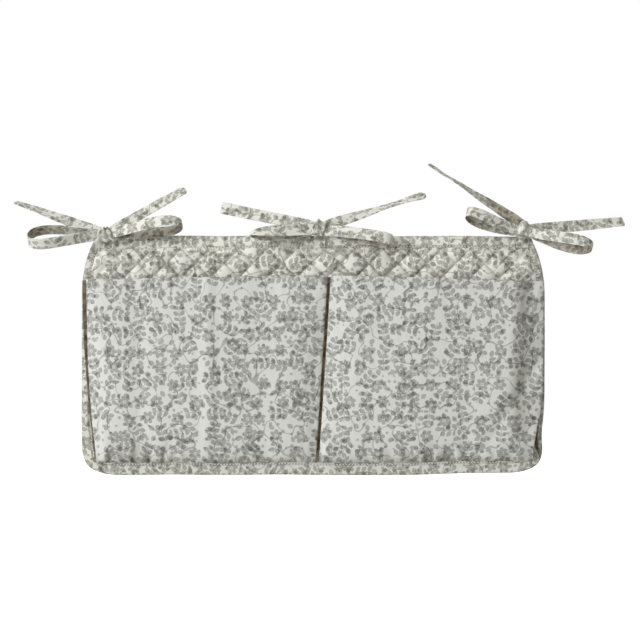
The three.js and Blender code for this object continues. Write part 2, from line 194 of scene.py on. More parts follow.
CRUMPLE_SIZE = 42 * MM
CRUMPLE_STRETCH = 0.6
FINE_CRUMPLE = 0.35
FINE_CRUMPLE_SIZE = 12 * MM
POCKET_COLUMNS = 150
POCKET_SIDE_RIM = 0.008
POCKET_ROWS = 100
POCKET_END_RIM = 0.012
POCKET_PRINT_SHIFT = (0.07, 0)

# Gathers above the foot seam: how far the cloth puffs out between tucks, the usual tuck, the least and most
# shares of it that chance gives, and the shade in the creases
GATHER_PUFF = 6.5 * MM
GATHER_RISE = 7 * MM
GATHER_FADE = 32 * MM
GATHER_SIDE = 12 * MM
GATHER_LEAST = 0.4
TUCK_WIDTH = 3.2 * MM
TUCK_REACH = 12 * MM
TUCK_PITCH = 17 * MM
TUCK_FADE = 2.5
TUCK_DEPTHS = (0.4, 1)
TUCK_WIDTHS = (0.6, 1.4)
TUCK_REACHES = (0.5, 1.6)
TUCK_LEANS = (-0.5, 0.5)
TUCK_PITCHES = (0.5, 1.7)
CREASE_SHADE = 0.9
CREASE_FADE = 15 * MM
CREASE_SPREAD = 1.8
FOOT_CREASE = 2 * MM
FOOT_CREASE_RUN = 18 * MM
FOOT_CREASE_LEAST = 0.3
FOOT_CREASE_USUAL = 0.6

# Draping of the pockets: it runs at a larger scale, as cloth of spare width along the mouth and the foot
DRAPE_SCALE = 10
DRAPE_FRAMES = 24
DRAPE_REACH = 12 * MM
DRAPE_LEAST = 0.001 * MM
DRAPE_GRAVITY = 0.15
DRAPE_CLOTH = {
    "quality": 6,
    "mass": 0.3,
    "tension_stiffness": 25,
    "compression_stiffness": 25,
    "shear_stiffness": 8,
    "bending_stiffness": 1.2,
    "air_damping": 2,
    "use_pressure": True,
    "uniform_pressure_force": 0.2,
}
SEWN_ROWS = 3
MOUTH_SLACK = 0.018
FOOT_SLACK = 0.16
FOOT_SLACK_REACH = 22 * MM

# Pleats: how far in a pleat folds, where it is sewn down, and its shade, from its seam and at its foot
PLEAT_DEPTH = 19 * MM
PLEAT_HALF = 0.35 * MM
PLEAT_FOOT = 5 * MM
PLEAT_BELOW_MOUTH = 1.5 * MM
PLEAT_LAP = 0.4 * MM
PLEAT_ROUNDNESS = 0.8
PLEAT_JOIN_HEIGHT = 100 * MM
PLEAT_PRINT_SHIFT = 0.13
PLEAT_GROWTH = 45 * MM
PLEAT_ROOT = 0.06
PLEAT_ROOT_FADE = 0.22
PLEAT_FOOT_SHADE = 0.4
PLEAT_ROWS = 40
PLEAT_END_RIM = 0.02
PLEAT_COLUMNS = 25
PLEAT_SIDE_RIM = 0.03
SIDE_SEAM_Y = -4.7 * MM
DIVIDER_SEAM_Y = -5.2 * MM

# Ties: flat straps, gathered where they enter the knot
TIE_WIDTH = 15 * MM
TIE_HALF = 0.55 * MM
TIE_COLUMNS = 13
TIE_PRINT_SHIFT = 0.01
TIE_WAVE = 0.9 * MM
TIE_WAVE_SIZE = 26 * MM
GATHER_SHARE = 0.8
GATHER_LENGTH = 20 * MM
GATHER_FOLD = 1.0 * MM
GATHER_FOLDS = 2
GATHER_FOLD_FADE = 1.5 * GATHER_LENGTH
TIE_WAVE_RISE = 2 * GATHER_LENGTH

# Tabs: sewn flat on the binding, then bent forward and gathered into the knot
TAB_FOOT_Z = -15 * MM
TAB_Y = -4.1 * MM
TAB_STEPS = 24
TAB_RIM = 0.04
TAB_BEND_FROM = 0.45
TAB_BEND_RUN = 0.55
TAB_INTO_KNOT = 2 * MM
TAB_GATHER = 0.72
TAB_FOLD = 0.9 * MM
TAB_FOLDS = 2.5
TAB_FOLD_SOON = 1.6

# Knots: a gathered wrap, its pleats and rumples as shares of its fold
KNOT_Y = -11.7 * MM
KNOT_HALF_DEPTH = 7.41 * MM
KNOT_PROUD = 2.5 * MM
KNOT_TURNS = 64
KNOT_SLICES = 37
KNOT_SQUARENESS = 6
KNOT_FOLD_SHARE = 0.16
KNOT_PLEAT = 0.6
KNOT_PLEAT_BEND = 0.5
KNOT_RUMPLE = 0.6
KNOT_RUMPLE_SIZE = 0.5
KNOT_RUMPLE_ALONG = 0.3
KNOT_RUMPLE_ROUND = 0.4
KNOT_WRAP_RADIUS = 7 * MM
KNOT_SHADE = 1.0
KNOT_SHADE_FROM = 0.2

# Loops and tails
LOOP_ROOT_GAP = 2 * MM
LOOP_FORWARD = 3 * MM
LOOP_LEAN = math.radians(7)
TAIL_BACKWARD = 4 * MM
TAIL_LEAN = math.radians(10)
LOOP_BELLY = 2.4
LOOP_PINCH_NEAR_END = 12
LOOP_ROOT_SHADE = 0.3
LOOP_END_SHADE = 0.95
LOOP_SHADE_NEAR_END = 4
LOOP_STEPS = 80
TAIL_STEPS = 60
TAIL_TURN_AT = 0.72
TAIL_EASE = 8
TAIL_SHADE_TO = 0.8
TAIL_BEND_FROM = 4 * MM
TAIL_BEND_TO = 30 * MM
TIP_LEAST = 0.1

# Sewing thread and its rows
STITCH_PITCH = 3.8 * MM
STITCH_LENGTH = 2.7 * MM
STITCH_UNEVENNESS = 0.12
STITCH_SEED = 7
THREAD = 1.15 * MM
QUILTING_THREAD = 0.6 * MM
STITCH_Y = BINDING_DEPTH + BINDING_HALF - STITCH_GROOVE + 0.35 * THREAD
QUILTING_Y = QUILT_HALF + 0.1 * MM
ROW_STEP = 1 * MM
TOP_ROW_END = 270 * MM
TAB_COVER = 10 * MM
TAB_COVER_RUN = 3 * MM
TAB_COVER_LIFT = 1.9 * MM
EDGE_ROW_TOP = -20 * MM
FOOT_ROW_STEP = 2 * MM
FRONT_ROWS_FOOT = -80 * MM
SHORTEST_ROW = 4

RIGHT = np.array((1.0, 0.0, 0.0))
FRONT = np.array((0.0, -1.0, 0.0))
BACK = -FRONT


def smooth(share):
    share = np.clip(share, 0, 1)
    return share * share * (3 - 2 * share)


def past(place, start, run):
    """0 up to a start, rising smoothly to 1 over a run beyond it."""
    return smooth((place - start) / run)


def mix(a, b, share):
    return a + (b - a) * share


def unit(vectors):
    return vectors / np.linalg.norm(vectors, axis=-1, keepdims=True)


def ripple(x, z, size, seed):
    """Smooth random relief, about -1 to 1, that changes over one size."""
    places = zip(np.ravel(x), np.ravel(z))
    values = [noise.noise(Vector((a / size, b / size, seed))) for a, b in places]
    return np.reshape(values, np.shape(x))


def rounded(distance, reach):
    """Share of the full thickness at a distance in from an edge that is rounded over reach."""
    left = 1 - np.clip(distance / reach, 0, 1)
    return np.sqrt(1 - left * left)


def spread(count, rim):
    """Shares from 0 to 1 with extra ones close to both ends, where an edge is rounded."""
    close = rim * np.array((0, 0.15, 0.5))
    return np.concatenate([close, np.linspace(rim, 1 - rim, count), 1 - close[::-1]])


# Materials: a value in a node tree that is written as a formula

class Value:
    def __init__(self, tree, socket):
        self.tree = tree
        self.socket = socket

    def step(self, operation, *others):
        made = self.tree.nodes.new("ShaderNodeMath")
        made.operation = operation
        for target, value in zip(made.inputs, (self, *others)):
            feed(self.tree, target, value)
        return Value(self.tree, made.outputs[0])

    def __add__(self, other):
        return self.step("ADD", other)

    def __sub__(self, other):
        return self.step("SUBTRACT", other)

    def __mul__(self, other):
        return self.step("MULTIPLY", other)

    def __truediv__(self, other):
        return self.step("DIVIDE", other)

    def __rsub__(self, other):
        return self * -1 + other

    def __abs__(self):
        return self.step("ABSOLUTE")


def feed(tree, target, value):
    """Links a value or a node's output to an input, or sets the input to a plain number, name or colour."""
    source = value.socket if isinstance(value, Value) else value
    if isinstance(source, bpy.types.NodeSocket):
        tree.links.new(source, target)
    else:
        target.default_value = source


def feed_all(tree, node, inputs):
    for name, value in inputs.items():
        feed(tree, node.inputs[name], value)


def add_node(tree, kind, inputs=None, **settings):
    made = tree.nodes.new(kind)
    for name, value in settings.items():
        setattr(made, name, value)
    feed_all(tree, made, inputs or {})
    return made


def node_value(tree, kind, inputs=None, output=0, **settings):
    """One output of a new node, as a value."""
    return Value(tree, add_node(tree, kind, inputs, **settings).outputs[output])


def vector_step(tree, operation, first, second):
    made = add_node(tree, "ShaderNodeVectorMath", operation=operation)
    feed(tree, made.inputs[0], first)
    feed(tree, made.inputs["Scale" if operation == "SCALE" else 1], second)
    return Value(tree, made.outputs[0])


def parts_of(tree, vector):
    made = add_node(tree, "ShaderNodeSeparateXYZ", {"Vector": vector})
    return [Value(tree, output) for output in made.outputs]


def new_group(name, kind, inputs, outputs):
    tree = bpy.data.node_groups.new(name, kind)
    for side, sockets in (("INPUT", inputs), ("OUTPUT", outputs)):
        for label, socket_type in sockets:
            tree.interface.new_socket(label, in_out=side, socket_type=socket_type)
    entry = tree.nodes.new("NodeGroupInput")
    result = tree.nodes.new("NodeGroupOutput")
    given = {socket.name: Value(tree, socket) for socket in entry.outputs if socket.name}
    return tree, given, result


PRINT_EDGE = 0.3 * MM


def inside(distance):
    """1 where a shape's distance inside its line is positive, 0 outside, with a soft printed edge."""
    edge = {"Value": distance, "From Min": -PRINT_EDGE, "From Max": PRINT_EDGE}
    return node_value(distance.tree, "ShaderNodeMapRange", edge, interpolation_type="SMOOTHSTEP")


def scattered(tree, flat, spacing, looseness, shift):
    """The way from the nearest point of a loose lattice, turned at random, and that point's lot."""
    moved = vector_step(tree, "ADD", flat, (shift, 1.7 * shift, 0))
    scaled = vector_step(tree, "SCALE", moved, 1 / spacing)
    lattice = {"Vector": scaled, "Scale": 1, "Randomness": looseness}
    cell = add_node(tree, "ShaderNodeTexVoronoi", lattice, voronoi_dimensions="2D")
    away = vector_step(tree, "SUBTRACT", scaled, cell.outputs["Position"])
    lots = add_node(tree, "ShaderNodeSeparateColor", {"Color": cell.outputs["Color"]})
    turning = {"Vector": away, "Angle": Value(tree, lots.outputs[0]) * math.tau}
    turned = node_value(tree, "ShaderNodeVectorRotate", turning, rotation_type="Z_AXIS")
    x, y, _ = parts_of(tree, vector_step(tree, "SCALE", turned, spacing))
    return x, y, Value(tree, lots.outputs[1])


def leaf(x, y, length, width):
    """Distance inside a pointed leaf that lies along x."""
    share = x / (length / 2)
    return (1 - share * share) * (width / 2) - abs(y)


def sprig(x, y):
    """A bowed stem with pairs of leaflets."""
    half_length, bow, stem_half = 11.5 * MM, 12, 0.5 * MM
    pitch, lift, slant = 7.6 * MM, 3.9 * MM, math.radians(48)
    leaflet_length, leaflet_width = 8.6 * MM, 5.4 * MM
    bowed = y + x * x * bow
    along = x.step("WRAP", pitch / 2, -pitch / 2)
    off = abs(bowed) - lift
    u = along * math.cos(slant) + off * math.sin(slant)
    v = off * math.cos(slant) - along * math.sin(slant)
    reach = inside(half_length - abs(x))
    leaflets = inside(leaf(u, v, leaflet_length, leaflet_width))
    stem = inside(stem_half - abs(bowed))
    return leaflets.step("MAXIMUM", stem) * reach


def daisy(x, y):
    """Six round petals about an open eye with a dot in it."""
    petal_length, petal_roundness, eye, dot = 8.2 * MM, 0.6, 2.0 * MM, 1.1 * MM
    radius = (x * x + y * y).step("SQRT")
    petals = abs((y.step("ARCTAN2", x) * 3).step("COSINE")).step("POWER", petal_roundness) * 0.5 + 0.5
    bloom = inside(petals * petal_length - radius) * (1 - inside(eye - radius))
    return bloom + inside(dot - radius)


# Print: how far apart the motifs, leaves and dots lie, how big they are, what share of the places daisies
# take and leaves and dots leave empty, and how much of the ground each one's ink takes
MOTIF_SPACING = 21 * MM
DAISY_SHARE = 0.42
MOTIF_INK = 0.46
LEAF_SPACING = 13.5 * MM
LEAF_LENGTH = 8.8 * MM
LEAF_WIDTH = 5.8 * MM
LEAFLESS = 0.25
LEAF_INK = 0.41
DOT_SPACING = 9 * MM
DOT_LEAST = 0.6 * MM
DOT_RANGE = 1.6 * MM
DOTLESS = 0.4
DOT_INK = 0.40
TENDRILS = 38
TENDRIL_HALF = 0.017
TENDRIL_SCALE = 26 * MM
TENDRIL_INK = 0.42


def printed_tree():
    """A tone-on-tone print, as the share of the ground left: a daisy or a sprig in each patch, and leaves,
    dots and tendrils over them."""
    tree, given, result = new_group(
        "garden_print", "ShaderNodeTree", [("Flat", "NodeSocketVector")], [("Ground", "NodeSocketFloat")]
    )
    flat = given["Flat"]
    x, y, lot = scattered(tree, flat, MOTIF_SPACING, looseness=0.62, shift=0.0)
    daisies = daisy(x, y) * lot.step("LESS_THAN", DAISY_SHARE)
    motif = daisies + sprig(x, y) * lot.step("GREATER_THAN", DAISY_SHARE)
    ground = 1 - motif * MOTIF_INK
    x, y, lot = scattered(tree, flat, LEAF_SPACING, looseness=0.6, shift=0.31)
    leaves = inside(leaf(x, y, LEAF_LENGTH, LEAF_WIDTH)) * lot.step("GREATER_THAN", LEAFLESS)
    ground = ground * (1 - leaves * LEAF_INK)
    x, y, lot = scattered(tree, flat, DOT_SPACING, looseness=0.7, shift=0.57)
    size = lot * DOT_RANGE + DOT_LEAST
    dots = inside(size - (x * x + y * y).step("SQRT")) * lot.step("GREATER_THAN", DOTLESS)
    ground = ground * (1 - dots * DOT_INK)
    drifting = {"Vector": flat, "Scale": TENDRILS, "Detail": 1, "Roughness": 0.3}
    tendril = abs(node_value(tree, "ShaderNodeTexNoise", drifting, noise_dimensions="2D") - 0.5)
    ground = ground * (1 - inside((TENDRIL_HALF - tendril) * TENDRIL_SCALE) * TENDRIL_INK)
    feed(tree, result.inputs["Ground"], ground)
    return tree


def woven_tree():
    """Height of a plain weave with uneven threads, in metres."""
    tree, given, result = new_group(
        "plain_weave", "ShaderNodeTree", [("Flat", "NodeSocketVector")], [("Height", "NodeSocketFloat")]
    )
    pitch, relief = 0.7 * MM, 0.06 * MM
    u, v, _ = parts_of(tree, given["Flat"])
    weft = (u * (math.tau / pitch)).step("SINE")
    warp = (v * (math.tau / pitch)).step("SINE")
    slub = node_value(tree, "ShaderNodeTexNoise", {"Vector": given["Flat"], "Scale": 900, "Detail": 2})
    height = weft * warp * relief + slub * relief
    feed(tree, result.inputs["Height"], height)
    return tree


PRINT = printed_tree()
WEAVE = woven_tree()


def paint(red, green, blue):
    """A colour given in screen values, as linear light."""
    return tuple(((c / 255 + 0.055) / 1.055) ** 2.4 for c in (red, green, blue)) + (1.0,)


def new_material(name):
    material = bpy.data.materials.new(name)
    material.use_nodes = True
    return material, material.node_tree, material.node_tree.nodes["Principled BSDF"]


# Sockets of a mix of colours
MIX_FIRST = 6
MIX_SECOND = 7
MIX_RESULT = 2


def colour_mix(tree, share, first, second, **settings):
    inputs = {"Factor": share, MIX_FIRST: first, MIX_SECOND: second}
    return node_value(tree, "ShaderNodeMix", inputs, MIX_RESULT, data_type="RGBA", **settings)


# Cotton: how much its ink fades in patches and along slubs, and the depth of the creases of washed cloth
FADE = 0.16
SLUB = 0.22
SLUB_STRETCH = (1, 0.12, 1)
SMALL_CREASE = 0.35 * MM
COTTON_SHEEN = {
    "Roughness": 0.92,
    "Specular IOR Level": 0.2,
    "Sheen Weight": 0.12,
    "Sheen Roughness": 0.6,
}


def cotton(name, ground, ink, shade=(0.5, 0.45, 0.38)):
    """Printed cotton: its ground and ink colours, and the painted shade that darkens them in a crease or
    inside a loop.
    """
    material, tree, surface = new_material(name)
    flat = node_value(tree, "ShaderNodeUVMap", uv_map="Cloth")
    pattern = node_value(tree, "ShaderNodeGroup", {"Flat": flat}, node_tree=PRINT)
    fade = node_value(tree, "ShaderNodeTexNoise", {"Vector": flat, "Scale": 45, "Detail": 3})
    worn = (fade - 0.5) * FADE + pattern
    stretched = vector_step(tree, "MULTIPLY", flat, SLUB_STRETCH)
    slub = node_value(tree, "ShaderNodeTexNoise", {"Vector": stretched, "Scale": 650, "Detail": 2})
    worn = (slub - 0.5) * SLUB + worn
    colour = colour_mix(tree, worn, ink, ground, clamp_factor=True)
    painted = node_value(tree, "ShaderNodeAttribute", output="Fac", attribute_name="Shade")
    shaded = colour_mix(tree, painted, colour, (*shade, 1.0), blend_type="MULTIPLY", clamp_factor=True)
    weave = node_value(tree, "ShaderNodeGroup", {"Flat": flat}, node_tree=WEAVE)
    creased = {"Vector": flat, "Scale": 120, "Detail": 4, "Distortion": 0.6}
    height = weave + node_value(tree, "ShaderNodeTexNoise", creased) * SMALL_CREASE
    bump = node_value(tree, "ShaderNodeBump", {"Height": height, "Strength": 0.8, "Distance": 1.0})
    feed_all(tree, surface, {"Base Color": shaded, "Normal": bump, **COTTON_SHEEN})
    return material


STRAND_SHADE = 0.72


def sewing_thread(name, colour):
    """Twisted thread, lighter and darker along its strands."""
    material, tree, surface = new_material(name)
    place = node_value(tree, "ShaderNodeTexCoord", output="Object")
    twisted = {"Vector": place, "Scale": 900, "Distortion": 2}
    strands = node_value(tree, "ShaderNodeTexWave", twisted, "Fac", bands_direction="DIAGONAL")
    between = tuple(STRAND_SHADE * c for c in colour[:3]) + (1.0,)
    shade = colour_mix(tree, strands, between, colour)
    bump = node_value(tree, "ShaderNodeBump", {"Height": strands, "Strength": 0.4, "Distance": 0.2 * MM})
    feed_all(tree, surface, {"Base Color": shade, "Normal": bump, "Roughness": 0.75, "Sheen Weight": 0.1})
    return material


# Inks: what is left of the ground's red, green and blue under full ink
GREY_INK = (0.04, 0.04, 0.022)
WARM_INK = (0.05, 0.045, 0.0)


def darker(colour, ink=WARM_INK):
    return tuple(share * c for share, c in zip(ink, colour)) + (1.0,)


POCKET_GROUND = paint(204, 205, 199)
QUILT_GROUND = paint(222, 221, 213)
# The top and edge bindings are one tape. Its ground is painted lighter on the top binding, where the bows
# shade it, and darker on the edge binding as painted shade.
TOP_BINDING_PAINTED_LIGHT_GROUND = paint(221, 221, 212)
EDGE_BINDING_PAINTED_SHADE_GROUND = paint(208, 209, 201)
TIE_GROUND = paint(216, 216, 208)
PLEAT_GROUND = paint(204, 201, 192)
POCKET_INK = darker(POCKET_GROUND, GREY_INK)
PLEAT_INK = darker(PLEAT_GROUND)
POCKET_COTTON = cotton("pocket_cotton", POCKET_GROUND, POCKET_INK, shade=(0.25, 0.24, 0.19))
QUILT_COTTON = cotton("quilt_cotton", QUILT_GROUND, darker(QUILT_GROUND))
TOP_BINDING_PAINTED_LIGHT_COTTON = cotton("top_binding_cotton", TOP_BINDING_PAINTED_LIGHT_GROUND, darker(TOP_BINDING_PAINTED_LIGHT_GROUND))
EDGE_BINDING_PAINTED_SHADE_COTTON = cotton("edge_binding_cotton", EDGE_BINDING_PAINTED_SHADE_GROUND, darker(EDGE_BINDING_PAINTED_SHADE_GROUND))
TIE_COTTON = cotton("tie_cotton", TIE_GROUND, darker(TIE_GROUND))
# The two pleat materials are one cloth with the same ground and ink. They differ only in the colour of their
# painted shade: warm brown in the inner pleats and dark grey-brown in the outer ones.
INNER_PLEAT_COTTON = cotton("inner_pleat_cotton", PLEAT_GROUND, PLEAT_INK, shade=(0.64, 0.51, 0.37))
OUTER_PLEAT_COTTON = cotton("outer_pleat_cotton", PLEAT_GROUND, PLEAT_INK, shade=(0.25, 0.2, 0.16))
THREAD_COTTON = sewing_thread("sewing_thread", paint(236, 235, 228))
# The quilting thread is real, but its dark colour is painted shade, standing for the shade in the valleys of
# the quilted seams.
PAINTED_SHADE_QUILTING_COTTON = sewing_thread("quilting_thread", paint(140, 136, 122))


# Meshes

def add_mesh(name, points, faces, material, flat=None):
    """A smooth mesh at the origin, with its cloth pattern's flat place, in metres, as its UV map."""
    mesh = bpy.data.meshes.new(name)
    mesh.from_pydata(np.asarray(points).tolist(), [], [[int(corner) for corner in face] for face in faces])
    if flat is not None:
        corners = np.zeros(len(mesh.loops), np.int32)
        mesh.loops.foreach_get("vertex_index", corners)
        layer = mesh.uv_layers.new(name="Cloth")
        layer.data.foreach_set("uv", np.asarray(flat, np.float32)[corners].ravel())
    mesh.polygons.foreach_set("use_smooth", np.ones(len(mesh.polygons), bool))
    mesh.materials.append(material)
    piece = bpy.data.objects.new(name, mesh)
    bpy.context.scene.collection.objects.link(piece)
    return piece


def quads(number):
    """Faces of a grid of point numbers, facing columns x rows."""
    return np.stack([number[:-1, :-1], number[:-1, 1:], number[1:, 1:], number[1:, :-1]], -1).reshape(-1, 4)


def shade_points(piece, shade):
    layer = piece.data.attributes.new("Shade", "FLOAT", "POINT")
    layer.data.foreach_set("value", np.asarray(shade, np.float32))


def cloth_sheet(name, middle, half, flat, material, shades=None):
    """A closed sheet about a grid of middle points; half is its half thickness, brought to nothing along its
    border; shades are how deeply its two faces are shaded."""
    half = half.copy()
    half[[0, -1]] = 0
    half[:, [0, -1]] = 0
    rows, columns = half.shape
    across = np.gradient(middle, axis=1)
    along = np.gradient(middle, axis=0)
    offset = unit(np.cross(across, along)) * half[..., None]
    number = np.arange(rows * columns).reshape(rows, columns)
    inner = np.zeros((rows, columns), bool)
    inner[1:-1, 1:-1] = True
    behind = number.copy()
    behind[inner] = rows * columns + np.arange(inner.sum())
    points = np.concatenate([(middle + offset).reshape(-1, 3), (middle - offset)[inner]])
    faces = np.concatenate([quads(number), quads(behind)[:, ::-1]])
    pattern = np.concatenate([flat.reshape(-1, 2), flat[inner]])
    piece = add_mesh(name, points, faces, material, pattern)
    if shades is not None:
        front, behind = (np.broadcast_to(shade, half.shape) for shade in shades)
        shade_points(piece, np.concatenate([front.ravel(), behind[inner]]))
    return piece


def settle(points):
    """The slack of the hung panel: its edges wander, its face lies in waves and its sides turn back."""
    moved = points.copy()
    x, z = points[..., 0], points[..., 2]
    moved[..., 1] += FACE_WAVE * ripple(x, z, FACE_WAVE_SIZE, 4.2)
    moved[..., 2] += FOOT_WAVE * ripple(x, 0 * x, FOOT_WAVE_SIZE, 9.6)
    moved[..., 0] += SIDE_WAVE * ripple(z, 0 * z, SIDE_WAVE_SIZE, 2.3) * np.sign(x)
    below_top = past(-z, TURN_TOP, TURN_TOP_RUN)
    above_foot = 1 - past(-z, TURN_FOOT, TURN_FOOT_RUN)
    right = np.clip((x - RIGHT_TURN_FROM) / (PANEL_WIDTH / 2 - RIGHT_TURN_FROM), 0, 1) ** 2
    left = np.clip((-x - LEFT_TURN_FROM) / (PANEL_WIDTH / 2 - LEFT_TURN_FROM), 0, 1) ** 2
    moved[..., 1] += (RIGHT_TURN * right + LEFT_TURN * left) * below_top * above_foot
    lifted = FOOT_LIFT * past(x, FOOT_LIFT_FROM, FOOT_LIFT_RUN)
    moved[..., 2] += lifted * past(-z, FOOT_LIFT_DROP, FOOT_LIFT_FADE)
    drawn = SIDE_DRAW * past(x, SIDE_DRAW_FROM, SIDE_DRAW_RUN)
    moved[..., 0] -= drawn * np.exp(-(((z + SIDE_DRAW_DROP) / SIDE_DRAW_REACH) ** 2))
    across = ((abs(x) - CORNER_X) / CORNER_WIDTH) ** 2
    corner = np.exp(-across - ((z + CORNER_DROP) / CORNER_HEIGHT) ** 2)
    moved[..., 0] += CORNER_PUSH * corner * np.sign(x)
    moved[..., 2] -= CORNER_DOWN * CORNER_PUSH * corner
    return moved


def as_points(x, y, z):
    return np.stack(np.broadcast_arrays(x, y, z), -1).astype(float)


def edge_x(edge, height):
    """Where a pocket's edge lies at a height above the foot seam."""
    mouth_x, foot_x, soon = edge
    return mix(mouth_x, foot_x, np.clip(1 - height / POCKET_HEIGHT, 0, None) ** soon)


# Panel outline

def curve_between(start, bend, end, count):
    t = np.linspace(0, 1, count)[:, None]
    start, bend, end = (np.array(p) for p in (start, bend, end))
    return (1 - t) ** 2 * start + 2 * t * (1 - t) * bend + t**2 * end


def side_line(inset):
    """The right half of the outline, from the top edge's end to the foot, drawn in by an inset."""
    half = PANEL_WIDTH / 2 - inset
    top_half = half - SHOULDER_INSET
    top = -inset
    corner = max(TOP_CORNER - inset, 1 * MM)
    bend = mix(-corner, -SHOULDER_DROP, SHOULDER_BEND)
    turn = np.array((top_half + SHOULDER_TURN, top - corner))
    across = FOOT_CORNER_ACROSS - inset
    up = FOOT_CORNER_UP - inset
    foot_centre = np.array((half - across, FOOT_CORNER_UP - PANEL_HEIGHT))
    angles = np.linspace(0, math.pi / 2, 24)[:, None]
    round_foot = foot_centre + np.concatenate([across * np.cos(angles), -up * np.sin(angles)], 1)
    return np.concatenate([
        curve_between((top_half - corner, top), (top_half, top), turn, TOP_CORNER_STEPS),
        curve_between(turn, (half - SHOULDER_TURN, bend), (half, -SHOULDER_DROP), 24)[1:],
        round_foot,
    ])


def side_x(z, inset):
    line = side_line(inset)
    return np.interp(-z, -line[:, 1], line[:, 0])


# Quilt

def end_tree(tree, shape, given, result):
    """Makes a tree's instances real, smooths them and gives them its material."""
    real = node_value(tree, "GeometryNodeRealizeInstances", {"Geometry": shape})
    smoothed = node_value(tree, "GeometryNodeSetShadeSmooth", {"Geometry": real})
    covering = {"Geometry": smoothed, "Material": given["Material"]}
    feed(tree, result.inputs[0], node_value(tree, "GeometryNodeSetMaterial", covering))


def shape_tree(name, numbers, whole_numbers=()):
    """A geometry tree with named inputs: the shape it works on, numbers and a material."""
    inputs = [("Geometry", "NodeSocketGeometry")]
    inputs += [(label, "NodeSocketFloat") for label in numbers]
    inputs += [(label, "NodeSocketInt") for label in whole_numbers]
    inputs += [("Material", "NodeSocketMaterial")]
    return new_group(name, "GeometryNodeTree", inputs, [("Geometry", "NodeSocketGeometry")])


def quilt_tree():
    """Raises the sewn diamonds of a quilt and puckers the cloth along their seams."""
    numbers = ("Diamond", "Centre X", "Centre Z", "Puff", "Firmness", "Pucker", "Pucker size")
    tree, given, result = shape_tree("quilted_diamonds", numbers)
    place = node_value(tree, "GeometryNodeInputPosition")
    named = {"Name": "loft"}
    loft = node_value(tree, "GeometryNodeInputNamedAttribute", named, "Attribute", data_type="FLOAT")
    x, y, z = parts_of(tree, place)
    right = (x - given["Centre X"]) / given["Diamond"]
    up = (z - given["Centre Z"]) / given["Diamond"]
    rising = abs(((right + up) * math.pi).step("COSINE"))
    falling = abs(((right - up) * math.pi).step("COSINE"))
    dome = (rising * falling).step("POWER", given["Firmness"])
    closeness = given["Pucker size"].step("POWER", -1.0)
    wrinkles = node_value(tree, "ShaderNodeTexNoise", {"Vector": place, "Scale": closeness, "Detail": 2.0})
    pucker = (wrinkles - 0.5) * given["Pucker"] * 2
    height = (dome * given["Puff"] + pucker) * loft
    offset = node_value(tree, "ShaderNodeCombineXYZ", {"Y": height * y.step("SIGN")})
    moving = {"Geometry": given["Geometry"], "Offset": offset}
    end_tree(tree, node_value(tree, "GeometryNodeSetPosition", moving), given, result)
    return tree


def grown(piece, tree, **sizes):
    """Runs a geometry tree on a piece and keeps the result as its plain mesh."""
    modifier = piece.modifiers.new(tree.name, "NODES")
    modifier.node_group = tree
    for socket in tree.interface.items_tree:
        label = socket.name.lower().replace(" ", "_")
        if socket.in_out == "INPUT" and label in sizes:
            modifier[socket.identifier] = sizes[label]
    piece.update_tag()
    bpy.context.view_layer.update()
    evaluated = piece.evaluated_get(bpy.context.evaluated_depsgraph_get())
    mesh = bpy.data.meshes.new_from_object(evaluated)
    mesh.name = piece.name
    piece.modifiers.clear()
    piece.data = mesh
    return piece


def even_steps(low, high, centre):
    """Places from low to high that meet the seams of diamonds about a centre."""
    first = math.ceil((low - centre) / QUILT_STEP)
    last = math.floor((high - centre) / QUILT_STEP)
    return centre + QUILT_STEP * np.arange(first, last + 1)


def with_rims(low, steps, high):
    """Even steps with closer ones added out to both ends."""
    rim = np.linspace(0, 1, QUILT_RIM_STEPS, endpoint=False) ** 1.5
    return np.concatenate([mix(low, steps[0], rim), steps, mix(high, steps[-1], rim)[::-1]])


def mesh_points(mesh):
    place = np.zeros(len(mesh.vertices) * 3)
    mesh.vertices.foreach_get("co", place)
    return place.reshape(-1, 3)


def cut_along_seams(corners, height):
    """Two triangles for each four-cornered face, parted along its lower diagonal to keep the seams crisp."""
    level = height[corners]
    other = level[:, 0] + level[:, 2] > level[:, 1] + level[:, 3]
    turned = np.where(other[:, None], np.roll(corners, -1, 1), corners)
    return np.concatenate([turned[:, (0, 1, 2)], turned[:, (0, 2, 3)]])


def inside_edge(x, z):
    """Distance in from the panel's edge."""
    return np.minimum(side_x(z, 0) - abs(x), np.minimum(-z, z + PANEL_HEIGHT))


def clear_of_pleats(x, z):
    """0 where a pleat is sewn down below the pockets' mouths, 1 away from it."""
    height = z - FOOT_Z
    outer = np.minimum(x - edge_x(LEFT_EDGE, height), edge_x(RIGHT_EDGE, height) - x)
    inner = np.maximum(edge_x(LEFT_INNER_EDGE, height) - x, x - edge_x(RIGHT_INNER_EDGE, height))
    beside = past(np.minimum(outer, inner), PLEAT_CLEAR, PLEAT_CLEAR_RUN)
    return np.maximum(beside, smooth((z - MOUTH_Z + MOUTH_CLEAR) / MOUTH_CLEAR))


